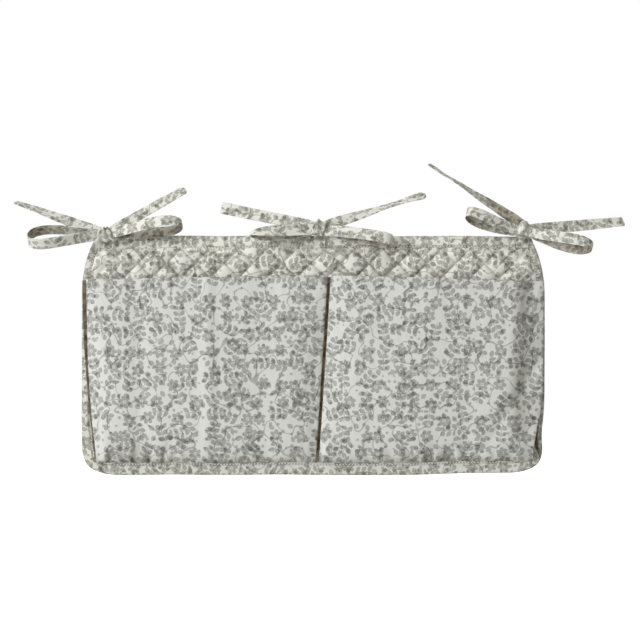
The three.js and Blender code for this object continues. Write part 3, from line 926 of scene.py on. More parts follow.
def make_quilt():
    top, foot = -QUILT_INSET, QUILT_INSET - PANEL_HEIGHT
    z = with_rims(foot, even_steps(foot + QUILT_RIM, top - QUILT_RIM, DIAMOND_CENTRE_Z), top)
    half_width = side_x(z, QUILT_INSET)
    steps = even_steps(-QUILT_EVEN_HALF, QUILT_EVEN_HALF, DIAMOND_CENTRE_X)
    squeeze = np.minimum(1, (half_width - QUILT_RIM) / QUILT_EVEN_HALF)
    x = np.stack([with_rims(-half, steps * share, half) for half, share in zip(half_width, squeeze)])
    z = np.broadcast_to(z[:, None], x.shape)
    half = QUILT_HALF * rounded(inside_edge(x, z) - QUILT_INSET, QUILT_ROUND)
    flat = np.stack([x, z], -1) + QUILT_PRINT_SHIFT
    quilt = cloth_sheet("quilt", as_points(x, 0, z), half, flat, QUILT_COTTON)
    place = mesh_points(quilt.data)
    drop = -place[:, 2]
    margin = mix(SIDE_MARGIN, END_MARGIN, past(drop, FOOT_MARGIN_DROP, FOOT_MARGIN_RUN)) * BINDING_WIDTH
    margin = np.where(drop < TOP_MARGIN_DROP, END_MARGIN * BINDING_WIDTH, margin)
    loft = past(inside_edge(place[:, 0], place[:, 2]), margin, LOFT_RISE)
    low = past(place[:, 2] - FOOT_Z, FOOT_FLAT, FOOT_FLAT_RUN)
    loft = np.where(place[:, 1] < 0, loft * low * clear_of_pleats(place[:, 0], place[:, 2]), loft)
    layer = quilt.data.attributes.new("loft", "FLOAT", "POINT")
    layer.data.foreach_set("value", loft)
    corners = np.array([face.vertices[:] for face in quilt.data.polygons])
    pattern = np.concatenate([flat.reshape(-1, 2), flat[1:-1, 1:-1].reshape(-1, 2)])
    grown(
        quilt,
        quilt_tree(),
        diamond=DIAMOND,
        centre_x=DIAMOND_CENTRE_X,
        centre_z=DIAMOND_CENTRE_Z,
        puff=PUFF,
        firmness=PUFF_FIRMNESS,
        pucker=PUCKER,
        pucker_size=PUCKER_SIZE,
        material=QUILT_COTTON,
    )
    place = mesh_points(quilt.data)
    faces = cut_along_seams(corners, abs(place[:, 1]))
    bpy.data.objects.remove(quilt)
    quilt = add_mesh("quilt", settle(place), faces, QUILT_COTTON, pattern)
    right = (place[:, 0] - DIAMOND_CENTRE_X) / DIAMOND
    up = (place[:, 2] - DIAMOND_CENTRE_Z) / DIAMOND
    to_seam = np.minimum(abs(np.cos(math.pi * (right + up))), abs(np.cos(math.pi * (right - up))))
    shade_points(quilt, QUILT_SEAM_SHADE * loft * np.clip(1 - to_seam / QUILT_SEAM_SPREAD, 0, 1))
    return quilt


QUILT = make_quilt()
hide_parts("quilt_face", "quilt_wadding", "quilt_lining")
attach(QUILT, "panel")


# Binding

def fold_section():
    """The tape's fold, from its front edge round to its back: insets from the panel's edge, and depths."""
    centre = BINDING_HALF + BINDING_DEPTH
    flat_run = mix(BINDING_WIDTH, centre, spread(FLAT_STEPS, FLAT_RIM))
    angles = np.linspace(0, math.pi, FOLD_STEPS + 2)[1:-1]
    inset = np.concatenate([flat_run, centre - BINDING_DEPTH * np.sin(angles), flat_run[::-1]])
    depth = np.concatenate([
        np.full(len(flat_run), -BINDING_DEPTH),
        -BINDING_DEPTH * np.cos(angles),
        np.full(len(flat_run), BINDING_DEPTH),
    ])
    return inset, depth


def tape_thickness(along, around):
    """Half thickness of a tape over a grid of distances along and around it."""
    ends = np.minimum(along, along[-1:] - along)
    sides = np.minimum(around, around[:, -1:] - around)
    return BINDING_HALF * rounded(ends, CLOTH_ROUND) * rounded(sides, CLOTH_ROUND)


def run_lengths(points, axis):
    steps = np.linalg.norm(np.diff(points, axis=axis), axis=-1)
    start = np.zeros_like(np.take(steps, [0], axis))
    return np.cumsum(np.concatenate([start, steps], axis), axis)


def stitch_groove(around, flap):
    """1 along the tape's stitch rows, 0 away from them; flap is its width's share of the full width."""
    from_edge = np.minimum(around, around[:, -1:] - around)
    row = (from_edge - (BINDING_WIDTH - STITCH_INSET) * flap) / STITCH_GROOVE_WIDTH
    return np.exp(-(row**2))


def puckered(middle, along, around, groove, seed):
    """Lets the tape's faces rise and dip between the stitches."""
    lift = BINDING_PUCKER * ripple(along, around, BINDING_PUCKER_SIZE, seed)
    lift = lift + FINE_PUCKER * BINDING_PUCKER * ripple(along, 3 * around, FINE_PUCKER_SIZE, seed + 20)
    lift = lift * (1 - GROOVE_CALM * groove) - STITCH_GROOVE * groove
    middle[..., 1] += lift * np.sign(middle[..., 1]) * np.minimum(abs(middle[..., 1]) / BINDING_DEPTH, 1)
    return middle


def make_tape(name, middle, flap, material, seed):
    along = run_lengths(middle, 0)
    around = run_lengths(middle, 1)
    half = tape_thickness(along, around)
    crest_run = along[:, len(along[0]) // 2, None] + 0 * around
    flat = np.stack([crest_run + TAPE_PRINT_ALONG * seed, around + TAPE_PRINT_ACROSS], -1)
    groove = stitch_groove(around, flap)
    crest = np.exp(-(((around - around[:, -1:] / 2) / FOLD_SHADE_WIDTH) ** 2))
    # Painted shade along the stitch rows and on the fold's crest.
    shade = np.maximum(groove, FOLD_SHADE * crest)
    middle = settle(puckered(middle, along, around, groove, seed))
    return cloth_sheet(name, middle, half, flat, material, (shade, shade))


def top_flap(x):
    """The top binding's share of its full width, more at its left end."""
    return mix(TOP_FLAP_LEFT, TOP_FLAP_RIGHT, past(x, TOP_FLAP_FROM, TOP_FLAP_RUN))


def make_top_binding():
    inset, depth = fold_section()
    line = side_line(0)
    corner_line = line[:TOP_CORNER_STEPS]
    end = corner_line[-1, 0]
    x = np.arange(-end, end + BINDING_STEP / 2, 2 * end / round(2 * end / BINDING_STEP))
    top = np.interp(abs(x), corner_line[:, 0], corner_line[:, 1])
    flap = top_flap(x)[:, None]
    room = flap + top[:, None] / BINDING_WIDTH
    z = top[:, None] - inset[None, :] * room
    stand = 1 + TOP_END_STAND * past(abs(x), TOP_END_X, TOP_END_RUN)
    y = depth[None, :] * stand[:, None]
    return make_tape("top_binding_tape", as_points(x[:, None], y, z), flap, TOP_BINDING_PAINTED_LIGHT_COTTON, 1.0)


def at_foot(z):
    """0 along the sides, where the binding is narrow, to 1 along the foot."""
    return past(-z, FOOT_BINDING_DROP, FOOT_BINDING_RUN)


def over_pockets(z):
    """0 above the foot to 1 where the binding's front is folded over the pockets."""
    return past(-z, OVER_POCKET_DROP, OVER_POCKET_RUN)


def make_edge_binding():
    inset, depth = fold_section()
    side_z = np.arange(-TOP_CORNER, FOOT_CORNER_UP - PANEL_HEIGHT, -BINDING_STEP)
    angles = np.linspace(0, math.pi / 2, 30)
    centre_x = PANEL_WIDTH / 2 - FOOT_CORNER_ACROSS
    centre_z = FOOT_CORNER_UP - PANEL_HEIGHT
    foot_x = np.arange(centre_x - BINDING_STEP, 0, -BINDING_STEP)

    def outline(d):
        side = np.stack([side_x(side_z, d), side_z], 1)
        across, up = FOOT_CORNER_ACROSS - d, FOOT_CORNER_UP - d
        squareness = 1 - CORNER_SQUARENESS * d / BINDING_WIDTH
        corner_x = centre_x + across * np.cos(angles) ** squareness
        corner_z = centre_z - up * np.sin(angles) ** squareness
        corner = np.stack([corner_x, corner_z], 1)
        foot = np.stack([foot_x, np.full_like(foot_x, d - PANEL_HEIGHT)], 1)
        right = np.concatenate([side, corner, foot])
        return np.concatenate([right, right[::-1] * (-1, 1)])

    wide = np.stack([outline(d) for d in inset], 1)[::-1]
    narrow = np.stack([outline(d * SIDE_BINDING_SHARE) for d in inset], 1)[::-1]
    path = mix(narrow, wide, at_foot(wide[..., 1:]))
    near_edge = past(inset[None, :], FLAP_EDGE, FLAP_EDGE_RUN) * (depth[None, :] < 0)
    y = depth[None, :] - FOOT_FLAP_LIFT * over_pockets(path[..., 1]) * near_edge
    flap = mix(SIDE_BINDING_SHARE, 1, at_foot(wide[:, :1, 1]))
    middle = as_points(path[..., 0], y, path[..., 1])
    return make_tape("edge_binding_tape", middle, flap, EDGE_BINDING_PAINTED_SHADE_COTTON, 2.0)


TOP_TAPE_LENGTH = 556 * MM
EDGE_TAPE_LENGTH = 1070 * MM

for tape, node, length in (
    (make_top_binding(), "top_binding", TOP_TAPE_LENGTH),
    (make_edge_binding(), "edge_binding", EDGE_TAPE_LENGTH),
):
    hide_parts(node)
    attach(tape, "panel")

# Pockets: where the mouth lies at its left and right ends; soft folds, each as x at the mouth, x at the
# foot, width, height and shade; how far back and over what width each edge rolls; the line and the depth of
# each pleat's seam; where the cloth is gathered most at the foot, and how widely
POCKETS = {
    "left": {
        "edges": (LEFT_EDGE, LEFT_INNER_EDGE),
        "mouth": (-54.4 * MM, -49.6 * MM),
        "folds": (
            (-131 * MM, -128 * MM, 9 * MM, 2.4 * MM, 0),
            (-219 * MM, -212 * MM, 11 * MM, -2.4 * MM, 0),
            (-60 * MM, -70 * MM, 24 * MM, -2.0 * MM, 0),
        ),
        "rolls": ((4.5 * MM, 11 * MM), (1.5 * MM, 4 * MM)),
        "seams": (LEFT_SEAM, DIVIDER_SEAM),
        "seam_depths": (SIDE_SEAM_Y, DIVIDER_SEAM_Y),
        "gathers": (-226 * MM, 48 * MM),
        "seed": 11,
    },
    "right": {
        "edges": (RIGHT_INNER_EDGE, RIGHT_EDGE),
        "mouth": (-49.6 * MM, -56 * MM),
        "folds": (
            (78 * MM, 70 * MM, 16 * MM, -1.0 * MM, 0),
            (150 * MM, 118 * MM, 20 * MM, 1.0 * MM, 0),
            (206 * MM, 190 * MM, 16 * MM, -1.2 * MM, 0),
            (267 * MM, 258 * MM, 11 * MM, -4.6 * MM, 0.42),
            (340 * MM, 205 * MM, 12 * MM, -3.2 * MM, 0),
        ),
        "rolls": ((2.4 * MM, 12 * MM), (1.6 * MM, 3 * MM)),
        "seams": (DIVIDER_SEAM, RIGHT_SEAM),
        "seam_depths": (DIVIDER_SEAM_Y, SIDE_SEAM_Y),
        "gathers": (150 * MM, 42 * MM),
        "seed": 17,
    },
}


def pocket_y(height, share):
    """How far the pocket's cloth stands off the panel, as a depth, before its folds."""
    lift = np.clip(height, 0, None)
    stand = POCKET_STAND * (1 - np.exp(-lift / POCKET_RISE))
    crown = np.sin(math.pi * BULGE_CROWN * lift / POCKET_HEIGHT) * (1 - abs(2 * share - 1) ** BULGE_FLATNESS)
    return -(POCKET_BASE + stand + POCKET_BULGE * crown)


def edge_roll(roll, distance, height):
    """How far the cloth turns back on the way into its pleat."""
    back, reach = roll
    left = 1 - np.clip(distance / reach, 0, 1)
    return back * (1 - np.sqrt(1 - left**2)) * smooth(height / ROLL_RISE)


def foot_tucks(x, height, plan):
    """0 to 1 into the tucks where the cloth is gathered into the foot seam; they fade upwards."""
    first, last = (foot_x for _, foot_x, _ in plan["edges"])
    chance = np.random.default_rng(plan["seed"])
    lift = np.clip(height, 0, None)
    tucks = np.zeros_like(x)
    place = first
    while place < last:
        depth = chance.uniform(*TUCK_DEPTHS)
        width = TUCK_WIDTH * chance.uniform(*TUCK_WIDTHS)
        reach = TUCK_REACH * chance.uniform(*TUCK_REACHES)
        lean = chance.uniform(*TUCK_LEANS)
        away = (x - place - lean * lift) / (width * (1 + lift / reach))
        tucks = np.maximum(tucks, depth * np.exp(-(away**2) - (lift / (TUCK_FADE * reach)) ** 2))
        place += TUCK_PITCH * chance.uniform(*TUCK_PITCHES)
    middle, width = plan["gathers"]
    return tucks * mix(GATHER_LEAST, 1, np.exp(-(((x - middle) / width) ** 2)))


def foot_puff(x, height, plan):
    """How far the cloth puffs out between the tucks above the foot seam."""
    first, last = (foot_x for _, foot_x, _ in plan["edges"])
    sides = smooth((x - first) / GATHER_SIDE) * smooth((last - x) / GATHER_SIDE)
    fade = smooth(height / GATHER_RISE) * np.exp(-np.clip(height, 0, None) / GATHER_FADE)
    return GATHER_PUFF * fade * sides * (1 - foot_tucks(x, height, plan))


def draped(start, cut, held):
    """Lets a grid of cloth settle; start is where it begins, cut its flat pattern, held its sewn points."""
    mesh = bpy.data.meshes.new("drape")
    faces = quads(np.arange(held.size).reshape(held.shape))
    mesh.from_pydata((start * DRAPE_SCALE).reshape(-1, 3).tolist(), [], faces.tolist())
    cloth = bpy.data.objects.new("drape", mesh)
    bpy.context.scene.collection.objects.link(cloth)
    cloth.shape_key_add(name="Start")
    pattern = cloth.shape_key_add(name="Cut")
    pattern.data.foreach_set("co", (cut * DRAPE_SCALE).ravel())
    sewn = cloth.vertex_groups.new(name="sewn")
    sewn.add(np.flatnonzero(held).tolist(), 1.0, "REPLACE")
    drape = cloth.modifiers.new("drape", "CLOTH")
    drape.settings.rest_shape_key = pattern
    drape.settings.vertex_group_mass = "sewn"
    for setting, value in DRAPE_CLOTH.items():
        setattr(drape.settings, setting, value)
    drape.settings.effector_weights.gravity = DRAPE_GRAVITY
    for frame_number in range(1, DRAPE_FRAMES + 1):
        bpy.context.scene.frame_set(frame_number)
    settled = mesh_points(cloth.evaluated_get(bpy.context.evaluated_depsgraph_get()).data) / DRAPE_SCALE
    bpy.context.scene.frame_set(1)
    bpy.data.objects.remove(cloth)
    moved = settled.reshape(start.shape) - start
    far = np.linalg.norm(moved, axis=-1, keepdims=True)
    return start + moved * np.minimum(1, DRAPE_REACH / np.maximum(far, DRAPE_LEAST))


def pocket_form(plan, share, height):
    """The pocket's cloth as it is sewn in, at shares of its width and heights above its foot seam."""
    left, right = (edge_x(edge, height) for edge in plan["edges"])
    x = mix(left, right, share)
    z = FOOT_Z + height
    y = pocket_y(height, share)
    y = y + edge_roll(plan["rolls"][0], x - left, height) + edge_roll(plan["rolls"][1], right - x, height)
    crumple = ripple(x, CRUMPLE_STRETCH * z, CRUMPLE_SIZE, plan["seed"] + 0.3)
    crumple += FINE_CRUMPLE * ripple(x + z, x - z, FINE_CRUMPLE_SIZE, plan["seed"] + 0.5)
    return as_points(x, y - CRUMPLE * crumple, z)


def soft_folds(plan, x, height):
    """How far a pocket's soft folds stand out, and how deeply they are shaded."""
    relief = np.zeros_like(x)
    shade = np.zeros_like(x)
    for mouth_x, foot_x, width, stand, depth in plan["folds"]:
        line = mix(foot_x, mouth_x, height / POCKET_HEIGHT)
        share = np.exp(-(((x - line) / width) ** 2)) * smooth(height / FOLD_RISE)
        relief += stand * share
        shade += depth * share
    return relief, shade


def with_folds(plan, points):
    """Lays the tucks at the foot and the soft folds into a pocket's cloth."""
    x, height = points[..., 0], points[..., 2] - FOOT_Z
    relief = foot_puff(x, height, plan) + soft_folds(plan, x, height)[0]
    folded = points.copy()
    folded[..., 1] = np.minimum(points[..., 1] - relief, -POCKET_BASE)
    return folded


def make_pocket(side):
    plan = POCKETS[side]
    share = spread(POCKET_COLUMNS, POCKET_SIDE_RIM)[None, :]
    rise = spread(POCKET_ROWS, POCKET_END_RIM)[:, None]
    mouth = mix(*plan["mouth"], smooth(share) * MOUTH_SWAY + share * (1 - MOUTH_SWAY))
    height = mix(-POCKET_TUCK, mouth - FOOT_Z, rise)
    middle = pocket_form(plan, share, height)
    flat = middle[..., (0, 2)] + POCKET_PRINT_SHIFT
    held = np.zeros(height.shape, bool)
    held[:SEWN_ROWS] = held[-1:] = held[:, :1] = held[:, -1:] = True
    slack = 1 + MOUTH_SLACK + FOOT_SLACK * np.exp(-np.clip(height, 0, None) / FOOT_SLACK_REACH)
    wide = run_lengths(middle, 1)
    cut = as_points((wide - wide[:, -1:] / 2) * slack, 0, run_lengths(middle, 0))
    middle = draped(middle, cut, held)
    middle = with_folds(plan, middle)
    wide = run_lengths(middle, 1)
    across = np.minimum(wide, wide[:, -1:] - wide)
    upward = np.minimum(rise, 1 - rise) * POCKET_HEIGHT
    half = POCKET_HALF * rounded(across, POCKET_ROUND) * rounded(upward, POCKET_ROUND)
    lift = np.clip(middle[..., 2] - FOOT_Z, 0, None)
    x = middle[..., 0]
    # Painted shade: in the tucks' creases, in a line just above the foot seam where the puffed cloth
    # overhangs it, and in the soft folds. The back face is left unshaded.
    crease = smooth(CREASE_SPREAD * foot_tucks(x, lift, plan)) * np.exp(-lift / CREASE_FADE)
    uneven = smooth(FOOT_CREASE_USUAL + ripple(x, 0 * x, FOOT_CREASE_RUN, plan["seed"] + 0.7))
    seam = np.exp(-((lift / FOOT_CREASE) ** 2)) * mix(FOOT_CREASE_LEAST, 1, uneven)
    shades = (CREASE_SHADE * np.maximum(crease, seam) + soft_folds(plan, x, lift)[1], 0)
    return cloth_sheet(f"{side}_pocket_cloth", settle(middle), half, flat, POCKET_COTTON, shades)


def make_pleat(side, place, end):
    """A pleat between a pocket's edge and its seam on the panel; end is 0 at the pocket's left and 1 at its
    right."""
    plan = POCKETS[side]
    inward = 1 - 2 * end
    share = spread(PLEAT_COLUMNS, PLEAT_SIDE_RIM)[None, :]
    mouth = plan["mouth"][end] - FOOT_Z - PLEAT_BELOW_MOUTH
    rise = spread(PLEAT_ROWS, PLEAT_END_RIM)[:, None]
    height = mix(PLEAT_FOOT, mouth, rise)
    edge = edge_x(plan["edges"][end], height)
    seam = edge_x(plan["seams"][end], height)
    front_y = with_folds(plan, pocket_form(plan, float(end), height))[..., 1] + PLEAT_HALF
    seam_y = plan["seam_depths"][end]
    depth = PLEAT_DEPTH * smooth(height / PLEAT_GROWTH)
    fold = depth * np.sin(math.pi * share) ** PLEAT_ROUNDNESS
    x = mix(seam, edge + inward * PLEAT_LAP, share) + inward * fold
    y = mix(seam_y, np.minimum(front_y, seam_y - PLEAT_LAP), share)
    middle = settle(as_points(x, y, FOOT_Z + height))
    root = 1 - past(share, PLEAT_ROOT, PLEAT_ROOT_FADE)
    shade = np.maximum(root, PLEAT_FOOT_SHADE * (1 - smooth(height / PLEAT_GROWTH)))
    if inward < 0:
        middle = middle[:, ::-1]
        shade = shade[:, ::-1]
    half = PLEAT_HALF * np.ones(middle.shape[:2])
    flat = np.stack(np.broadcast_arrays(2 * PLEAT_DEPTH * share + PLEAT_PRINT_SHIFT * end, height), -1)
    material = OUTER_PLEAT_COTTON if place == "outer" else INNER_PLEAT_COTTON
    return cloth_sheet(f"{side}_pocket_{place}_pleat_cloth", middle, half, flat, material, (shade, shade))


for side, plan in POCKETS.items():
    body = f"{side}_pocket"
    pocket = make_pocket(side)
    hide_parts(f"{body}_front", f"{body}_lining")
    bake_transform(pocket)
    width = plan["edges"][1][0] - plan["edges"][0][0]
    places = ("outer", "inner") if side == "left" else ("inner", "outer")
    for end, place in enumerate(places):
        pleat = make_pleat(side, place, end)
        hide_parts(f"{body}_{place}_pleat")
        roll = edge_roll(plan["rolls"][end], 0.0, PLEAT_JOIN_HEIGHT)
        front_y = float(pocket_y(PLEAT_JOIN_HEIGHT, 0.0) + roll)
        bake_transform(pleat)

# Bows, in millimetres and degrees. A knot has half a width, half a height, a flare to its foot, a tilt and a
# number of pleats. A heading is from +X towards +Z. A loop's lean tips its cloth from edge-on to face-on, on
# its lower and upper strand; drop is how far below the knot's middle it leaves; pinch narrows its end and sag
# lowers its lower strand. A tail's turn twists it from face-on towards edge-on, at the knot, past its middle
# and at the tip; rise is how far above the knot's middle it leaves; tip is how far its end is rounded; shade
# darkens it by the knot.
BOWS = {
    "left": {
        "x": -259, "z": 1.5, "knot": (11.4, 8.8, 0.4, 5, 3.2), "seed": 31.0,
        "left_loop": {
            "length": 93, "fullness": 48, "heading": 184,
            "lean": (66, 38), "drop": 0, "pinch": 0, "sag": 0,
        },
        "right_loop": {
            "length": 98, "fullness": 52, "heading": 7,
            "lean": (-69, -69), "drop": 0, "pinch": 0.3, "sag": 0,
        },
        "left_tail": {
            "length": 126, "heading": 160,
            "turn": (5, 58, 72), "rise": 0, "tip": 3, "shade": 0.1,
        },
        "right_tail": {
            "length": 116, "heading": 30.5,
            "turn": (20, 34, 44), "rise": 0, "tip": 3, "shade": 0.1,
        },
    },
    "middle": {
        "x": 8, "z": 10, "knot": (7.6, 9.2, 0.1, -24, 1.1), "seed": 41.0,
        "left_loop": {
            "length": 86, "fullness": 24, "heading": 185,
            "lean": (-66, -72), "drop": 2, "pinch": 0.75, "sag": 1,
        },
        "right_loop": {
            "length": 90, "fullness": 30, "heading": -10,
            "lean": (-72, -74), "drop": 2, "pinch": 0, "sag": 0,
        },
        "left_tail": {
            "length": 129, "heading": 168,
            "turn": (8, 8, 4), "rise": 0, "tip": 2, "shade": 0.1,
        },
        "right_tail": {
            "length": 143, "heading": 18,
            "turn": (5, 74, 44), "rise": 0, "tip": 7, "shade": 0.1,
        },
    },
    "right": {
        "x": 261, "z": 6.5, "knot": (8.6, 10.6, 0.0, -35, 1.3), "seed": 51.0,
        "left_loop": {
            "length": 75, "fullness": 31, "heading": 162,
            "lean": (-58, -64), "drop": 2, "pinch": 0.1, "sag": 6,
        },
        "right_loop": {
            "length": 86, "fullness": 50, "heading": -15,
            "lean": (-72, -74), "drop": 0, "pinch": 0.3, "sag": 2,
        },
        "left_tail": {
            "length": 142, "heading": 146,
            "turn": (8, 74, 66), "rise": 7, "tip": 6, "shade": 1,
        },
        "right_tail": {
            "length": 133, "heading": 5.5,
            "turn": (0, 22, 38), "rise": 0, "tip": 2, "shade": 0.1,
        },
    },
}


def heading_axes(degrees):
    """The way a strand runs out from its knot, and the way up across it."""
    angle = math.radians(degrees)
    ahead = np.array((math.cos(angle), 0, math.sin(angle)))
    up = np.array((-math.sin(angle), 0, math.cos(angle))) * math.copysign(1, math.cos(angle))
    return ahead, up


def gathered(distance):
    """A tie's width at a distance from the knot."""
    return TIE_WIDTH * mix(GATHER_SHARE, 1, smooth(distance / GATHER_LENGTH))


# Shares of a tie's width, closer together towards its edges
TIE_SHARES = 0.5 - 0.5 * np.cos(np.linspace(0, math.pi, TIE_COLUMNS))


def tie_half(width, from_end):
    """Half thickness of a tie, given its width and distance from an end at each place along it."""
    from_edge = np.minimum(TIE_SHARES, 1 - TIE_SHARES)[None, :] * width[:, None]
    return TIE_HALF * rounded(from_edge, CLOTH_ROUND) * rounded(from_end[:, None], CLOTH_ROUND)


def make_strap(name, place, across, distance, narrowing, shades, seed):
    """A flat tie along a path; distance is how far each place is from the knot, where the cloth is gathered,
    and narrowing what is left of its width there."""
    along = unit(np.gradient(place, axis=0))
    across = unit(across - along * np.sum(across * along, -1, keepdims=True))
    out = np.cross(across, along)
    run = run_lengths(place, 0)
    width = gathered(distance) * narrowing
    side = (TIE_SHARES[None, :] - 0.5) * width[:, None]
    folds = GATHER_FOLD * (1 - smooth(distance / GATHER_FOLD_FADE))
    relief = folds[:, None] * np.cos(GATHER_FOLDS * math.tau * TIE_SHARES)[None, :]
    waves = ripple(run[:, None] + 0 * side, 2 * side, TIE_WAVE_SIZE, seed)
    relief = relief + TIE_WAVE * waves * smooth(distance / TIE_WAVE_RISE)[:, None]
    middle = place[:, None, :] + across[:, None, :] * side[..., None] + out[:, None, :] * relief[..., None]
    half = tie_half(width, np.minimum(run, run[-1] - run))
    flat_side = TIE_SHARES[None, :] * TIE_WIDTH + TIE_PRINT_SHIFT * seed
    flat = np.stack(np.broadcast_arrays(run[:, None], flat_side), -1)
    piece = cloth_sheet(name, middle, half, flat, TIE_COTTON, shades)
    return piece


def make_loop(name, knot, plan, seed):
    """A teardrop that leaves the knot on one side and returns on the other."""
    ahead, up = heading_axes(plan["heading"])
    turn = np.linspace(0, math.tau, LOOP_STEPS + 1)
    lower, upper = np.radians(plan["lean"])
    lean = mix(lower, upper, smooth(turn / math.tau))[:, None]
    across = up * np.sin(lean) - BACK * np.cos(lean)
    spread_way = up * np.cos(lean) + BACK * np.sin(lean)
    distance = plan["length"] * MM * (1 - np.cos(turn)) / 2
    opening = plan["fullness"] * MM / 2 * np.sin(turn) * np.sin(turn / 2) ** LOOP_BELLY
    part = LOOP_ROOT_GAP / 2 * np.cos(turn / 2) + opening
    root = knot + FRONT * LOOP_FORWARD - np.array((0, 0, plan["drop"] * MM))
    onward = ahead + FRONT * math.tan(LOOP_LEAN)
    place = root + distance[:, None] * onward - part[:, None] * spread_way
    place[:, 2] -= plan["sag"] * MM * np.sin(turn / 2) ** 2 * (1 + np.cos(turn))
    inner = mix(LOOP_ROOT_SHADE, LOOP_END_SHADE, np.sin(turn / 2) ** LOOP_SHADE_NEAR_END)[:, None]
    shades = (inner, 0) if ahead[0] > 0 else (0, inner)
    narrowing = 1 - plan["pinch"] * np.sin(turn / 2) ** LOOP_PINCH_NEAR_END
    return make_strap(name, place, across, distance, narrowing, shades, seed)


def make_tail(name, knot, plan, seed):
    """A free end that runs out behind the loops, leaning back and twisting towards its tip."""
    ahead, up = heading_axes(plan["heading"])
    along = ahead * math.cos(TAIL_LEAN) + BACK * math.sin(TAIL_LEAN)
    edge = BACK * math.cos(TAIL_LEAN) - ahead * math.sin(TAIL_LEAN)
    root = knot + np.array((0, TAIL_BACKWARD, plan["rise"] * MM))
    share = np.sin(np.linspace(0, math.pi / 2, TAIL_STEPS + 1))
    distance = plan["length"] * MM * share
    twist = np.radians(np.interp(share, (0, TAIL_TURN_AT, 1), plan["turn"]))
    ease = np.ones(2 * TAIL_EASE + 1) / (2 * TAIL_EASE + 1)
    twist = np.convolve(np.pad(twist, TAIL_EASE, "edge"), ease, "valid")[:, None]
    across = up * np.cos(twist) + edge * np.sin(twist)
    place = root + distance[:, None] * along
    narrowing = np.maximum(rounded(distance[-1] - distance, plan["tip"] * MM), TIP_LEAST)
    shade = plan["shade"] * (1 - smooth(share / TAIL_SHADE_TO))[:, None]
    return make_strap(name, place, across, distance, narrowing, (shade, shade), seed), root, along


def make_knot(name, knot, plan, seed):
    """The wrap of the knot: a band of gathered cloth round the roots of the loops."""
    half_width, half_height, flare, tilt, pleats = plan
    half_width, half_height = half_width * MM, half_height * MM
    angle = math.radians(tilt)
    axle = np.array((math.cos(angle), 0, math.sin(angle)))
    upright = np.array((-math.sin(angle), 0, math.cos(angle)))
    turn = np.linspace(0, math.tau, KNOT_TURNS, endpoint=False)[None, :]
    slice_share = np.sin(np.linspace(-math.pi / 2, math.pi / 2, KNOT_SLICES))[1:-1, None]
    swell = (1 - abs(slice_share) ** KNOT_SQUARENESS) ** (1 / KNOT_SQUARENESS)
    folds = KNOT_PLEAT * np.cos(pleats * math.pi * slice_share + seed + KNOT_PLEAT_BEND * np.cos(turn))
    along = slice_share + KNOT_RUMPLE_ALONG * np.cos(turn)
    around = KNOT_RUMPLE_ROUND * np.sin(turn) + 0 * slice_share
    folds = folds + KNOT_RUMPLE * ripple(along, around, KNOT_RUMPLE_SIZE, seed)
    swell = swell * (1 + KNOT_FOLD_SHARE * folds)
    widening = 1 - flare * np.cos(turn)
    shape = (
        axle * (slice_share * widening * half_width)[..., None]
        + upright * (swell * np.cos(turn) * half_height)[..., None]
        + FRONT * (swell * np.sin(turn) * KNOT_HALF_DEPTH)[..., None]
    )
    rings, columns = shape.shape[:2]
    number = np.arange(rings * columns).reshape(rings, columns)
    number = np.concatenate([number, number[:, :1]], 1)
    poles = np.array((-axle, axle)) * half_width
    faces = quads(number).tolist()
    first, last = rings * columns, rings * columns + 1
    for c in range(columns):
        faces.append((first, number[0, c + 1], number[0, c]))
        faces.append((last, number[-1, c], number[-1, c + 1]))
    points = np.concatenate([shape.reshape(-1, 3), poles]) + knot + FRONT * KNOT_PROUD
    wrapped = turn * KNOT_WRAP_RADIUS + TIE_PRINT_SHIFT * seed
    flat_grid = np.stack(np.broadcast_arrays(slice_share * TIE_WIDTH / 2, wrapped), -1)
    flat = np.concatenate([flat_grid.reshape(-1, 2), np.zeros((2, 2))])
    piece = add_mesh(name, points, faces, TIE_COTTON, flat)
    shade = np.clip(-KNOT_SHADE * folds - KNOT_SHADE_FROM, 0, 1)
    shade_points(piece, np.concatenate([shade.ravel(), (0, 0)]))
    return piece


def make_tab(name, knot, seed):
    """The sewn end of the tie, from the binding's lower edge up into the knot."""
    rise = spread(TAB_STEPS, TAB_RIM)
    reach = past(rise, TAB_BEND_FROM, TAB_BEND_RUN)
    z = mix(TAB_FOOT_Z, knot[2] - TAB_INTO_KNOT, rise)
    y = mix(TAB_Y, KNOT_Y + TAB_INTO_KNOT, reach)
    place = as_points(knot[0], y, z)
    width = TIE_WIDTH * mix(1.0, TAB_GATHER, reach)
    side = (TIE_SHARES[None, :] - 0.5) * width[:, None]
    folds = np.cos(TAB_FOLDS * math.tau * TIE_SHARES + seed)[None, :]
    relief = TAB_FOLD * smooth(rise * TAB_FOLD_SOON)[:, None] * folds
    middle = place[:, None, :] + RIGHT * side[..., None] + FRONT * relief[..., None]
    half = tie_half(width, np.minimum(rise, 1 - rise) * (knot[2] - TAB_FOOT_Z))
    flat = np.stack(np.broadcast_arrays(z[:, None] + TIE_PRINT_SHIFT * seed, side), -1)
    piece = cloth_sheet(name, middle, half, flat, TIE_COTTON)
    return piece


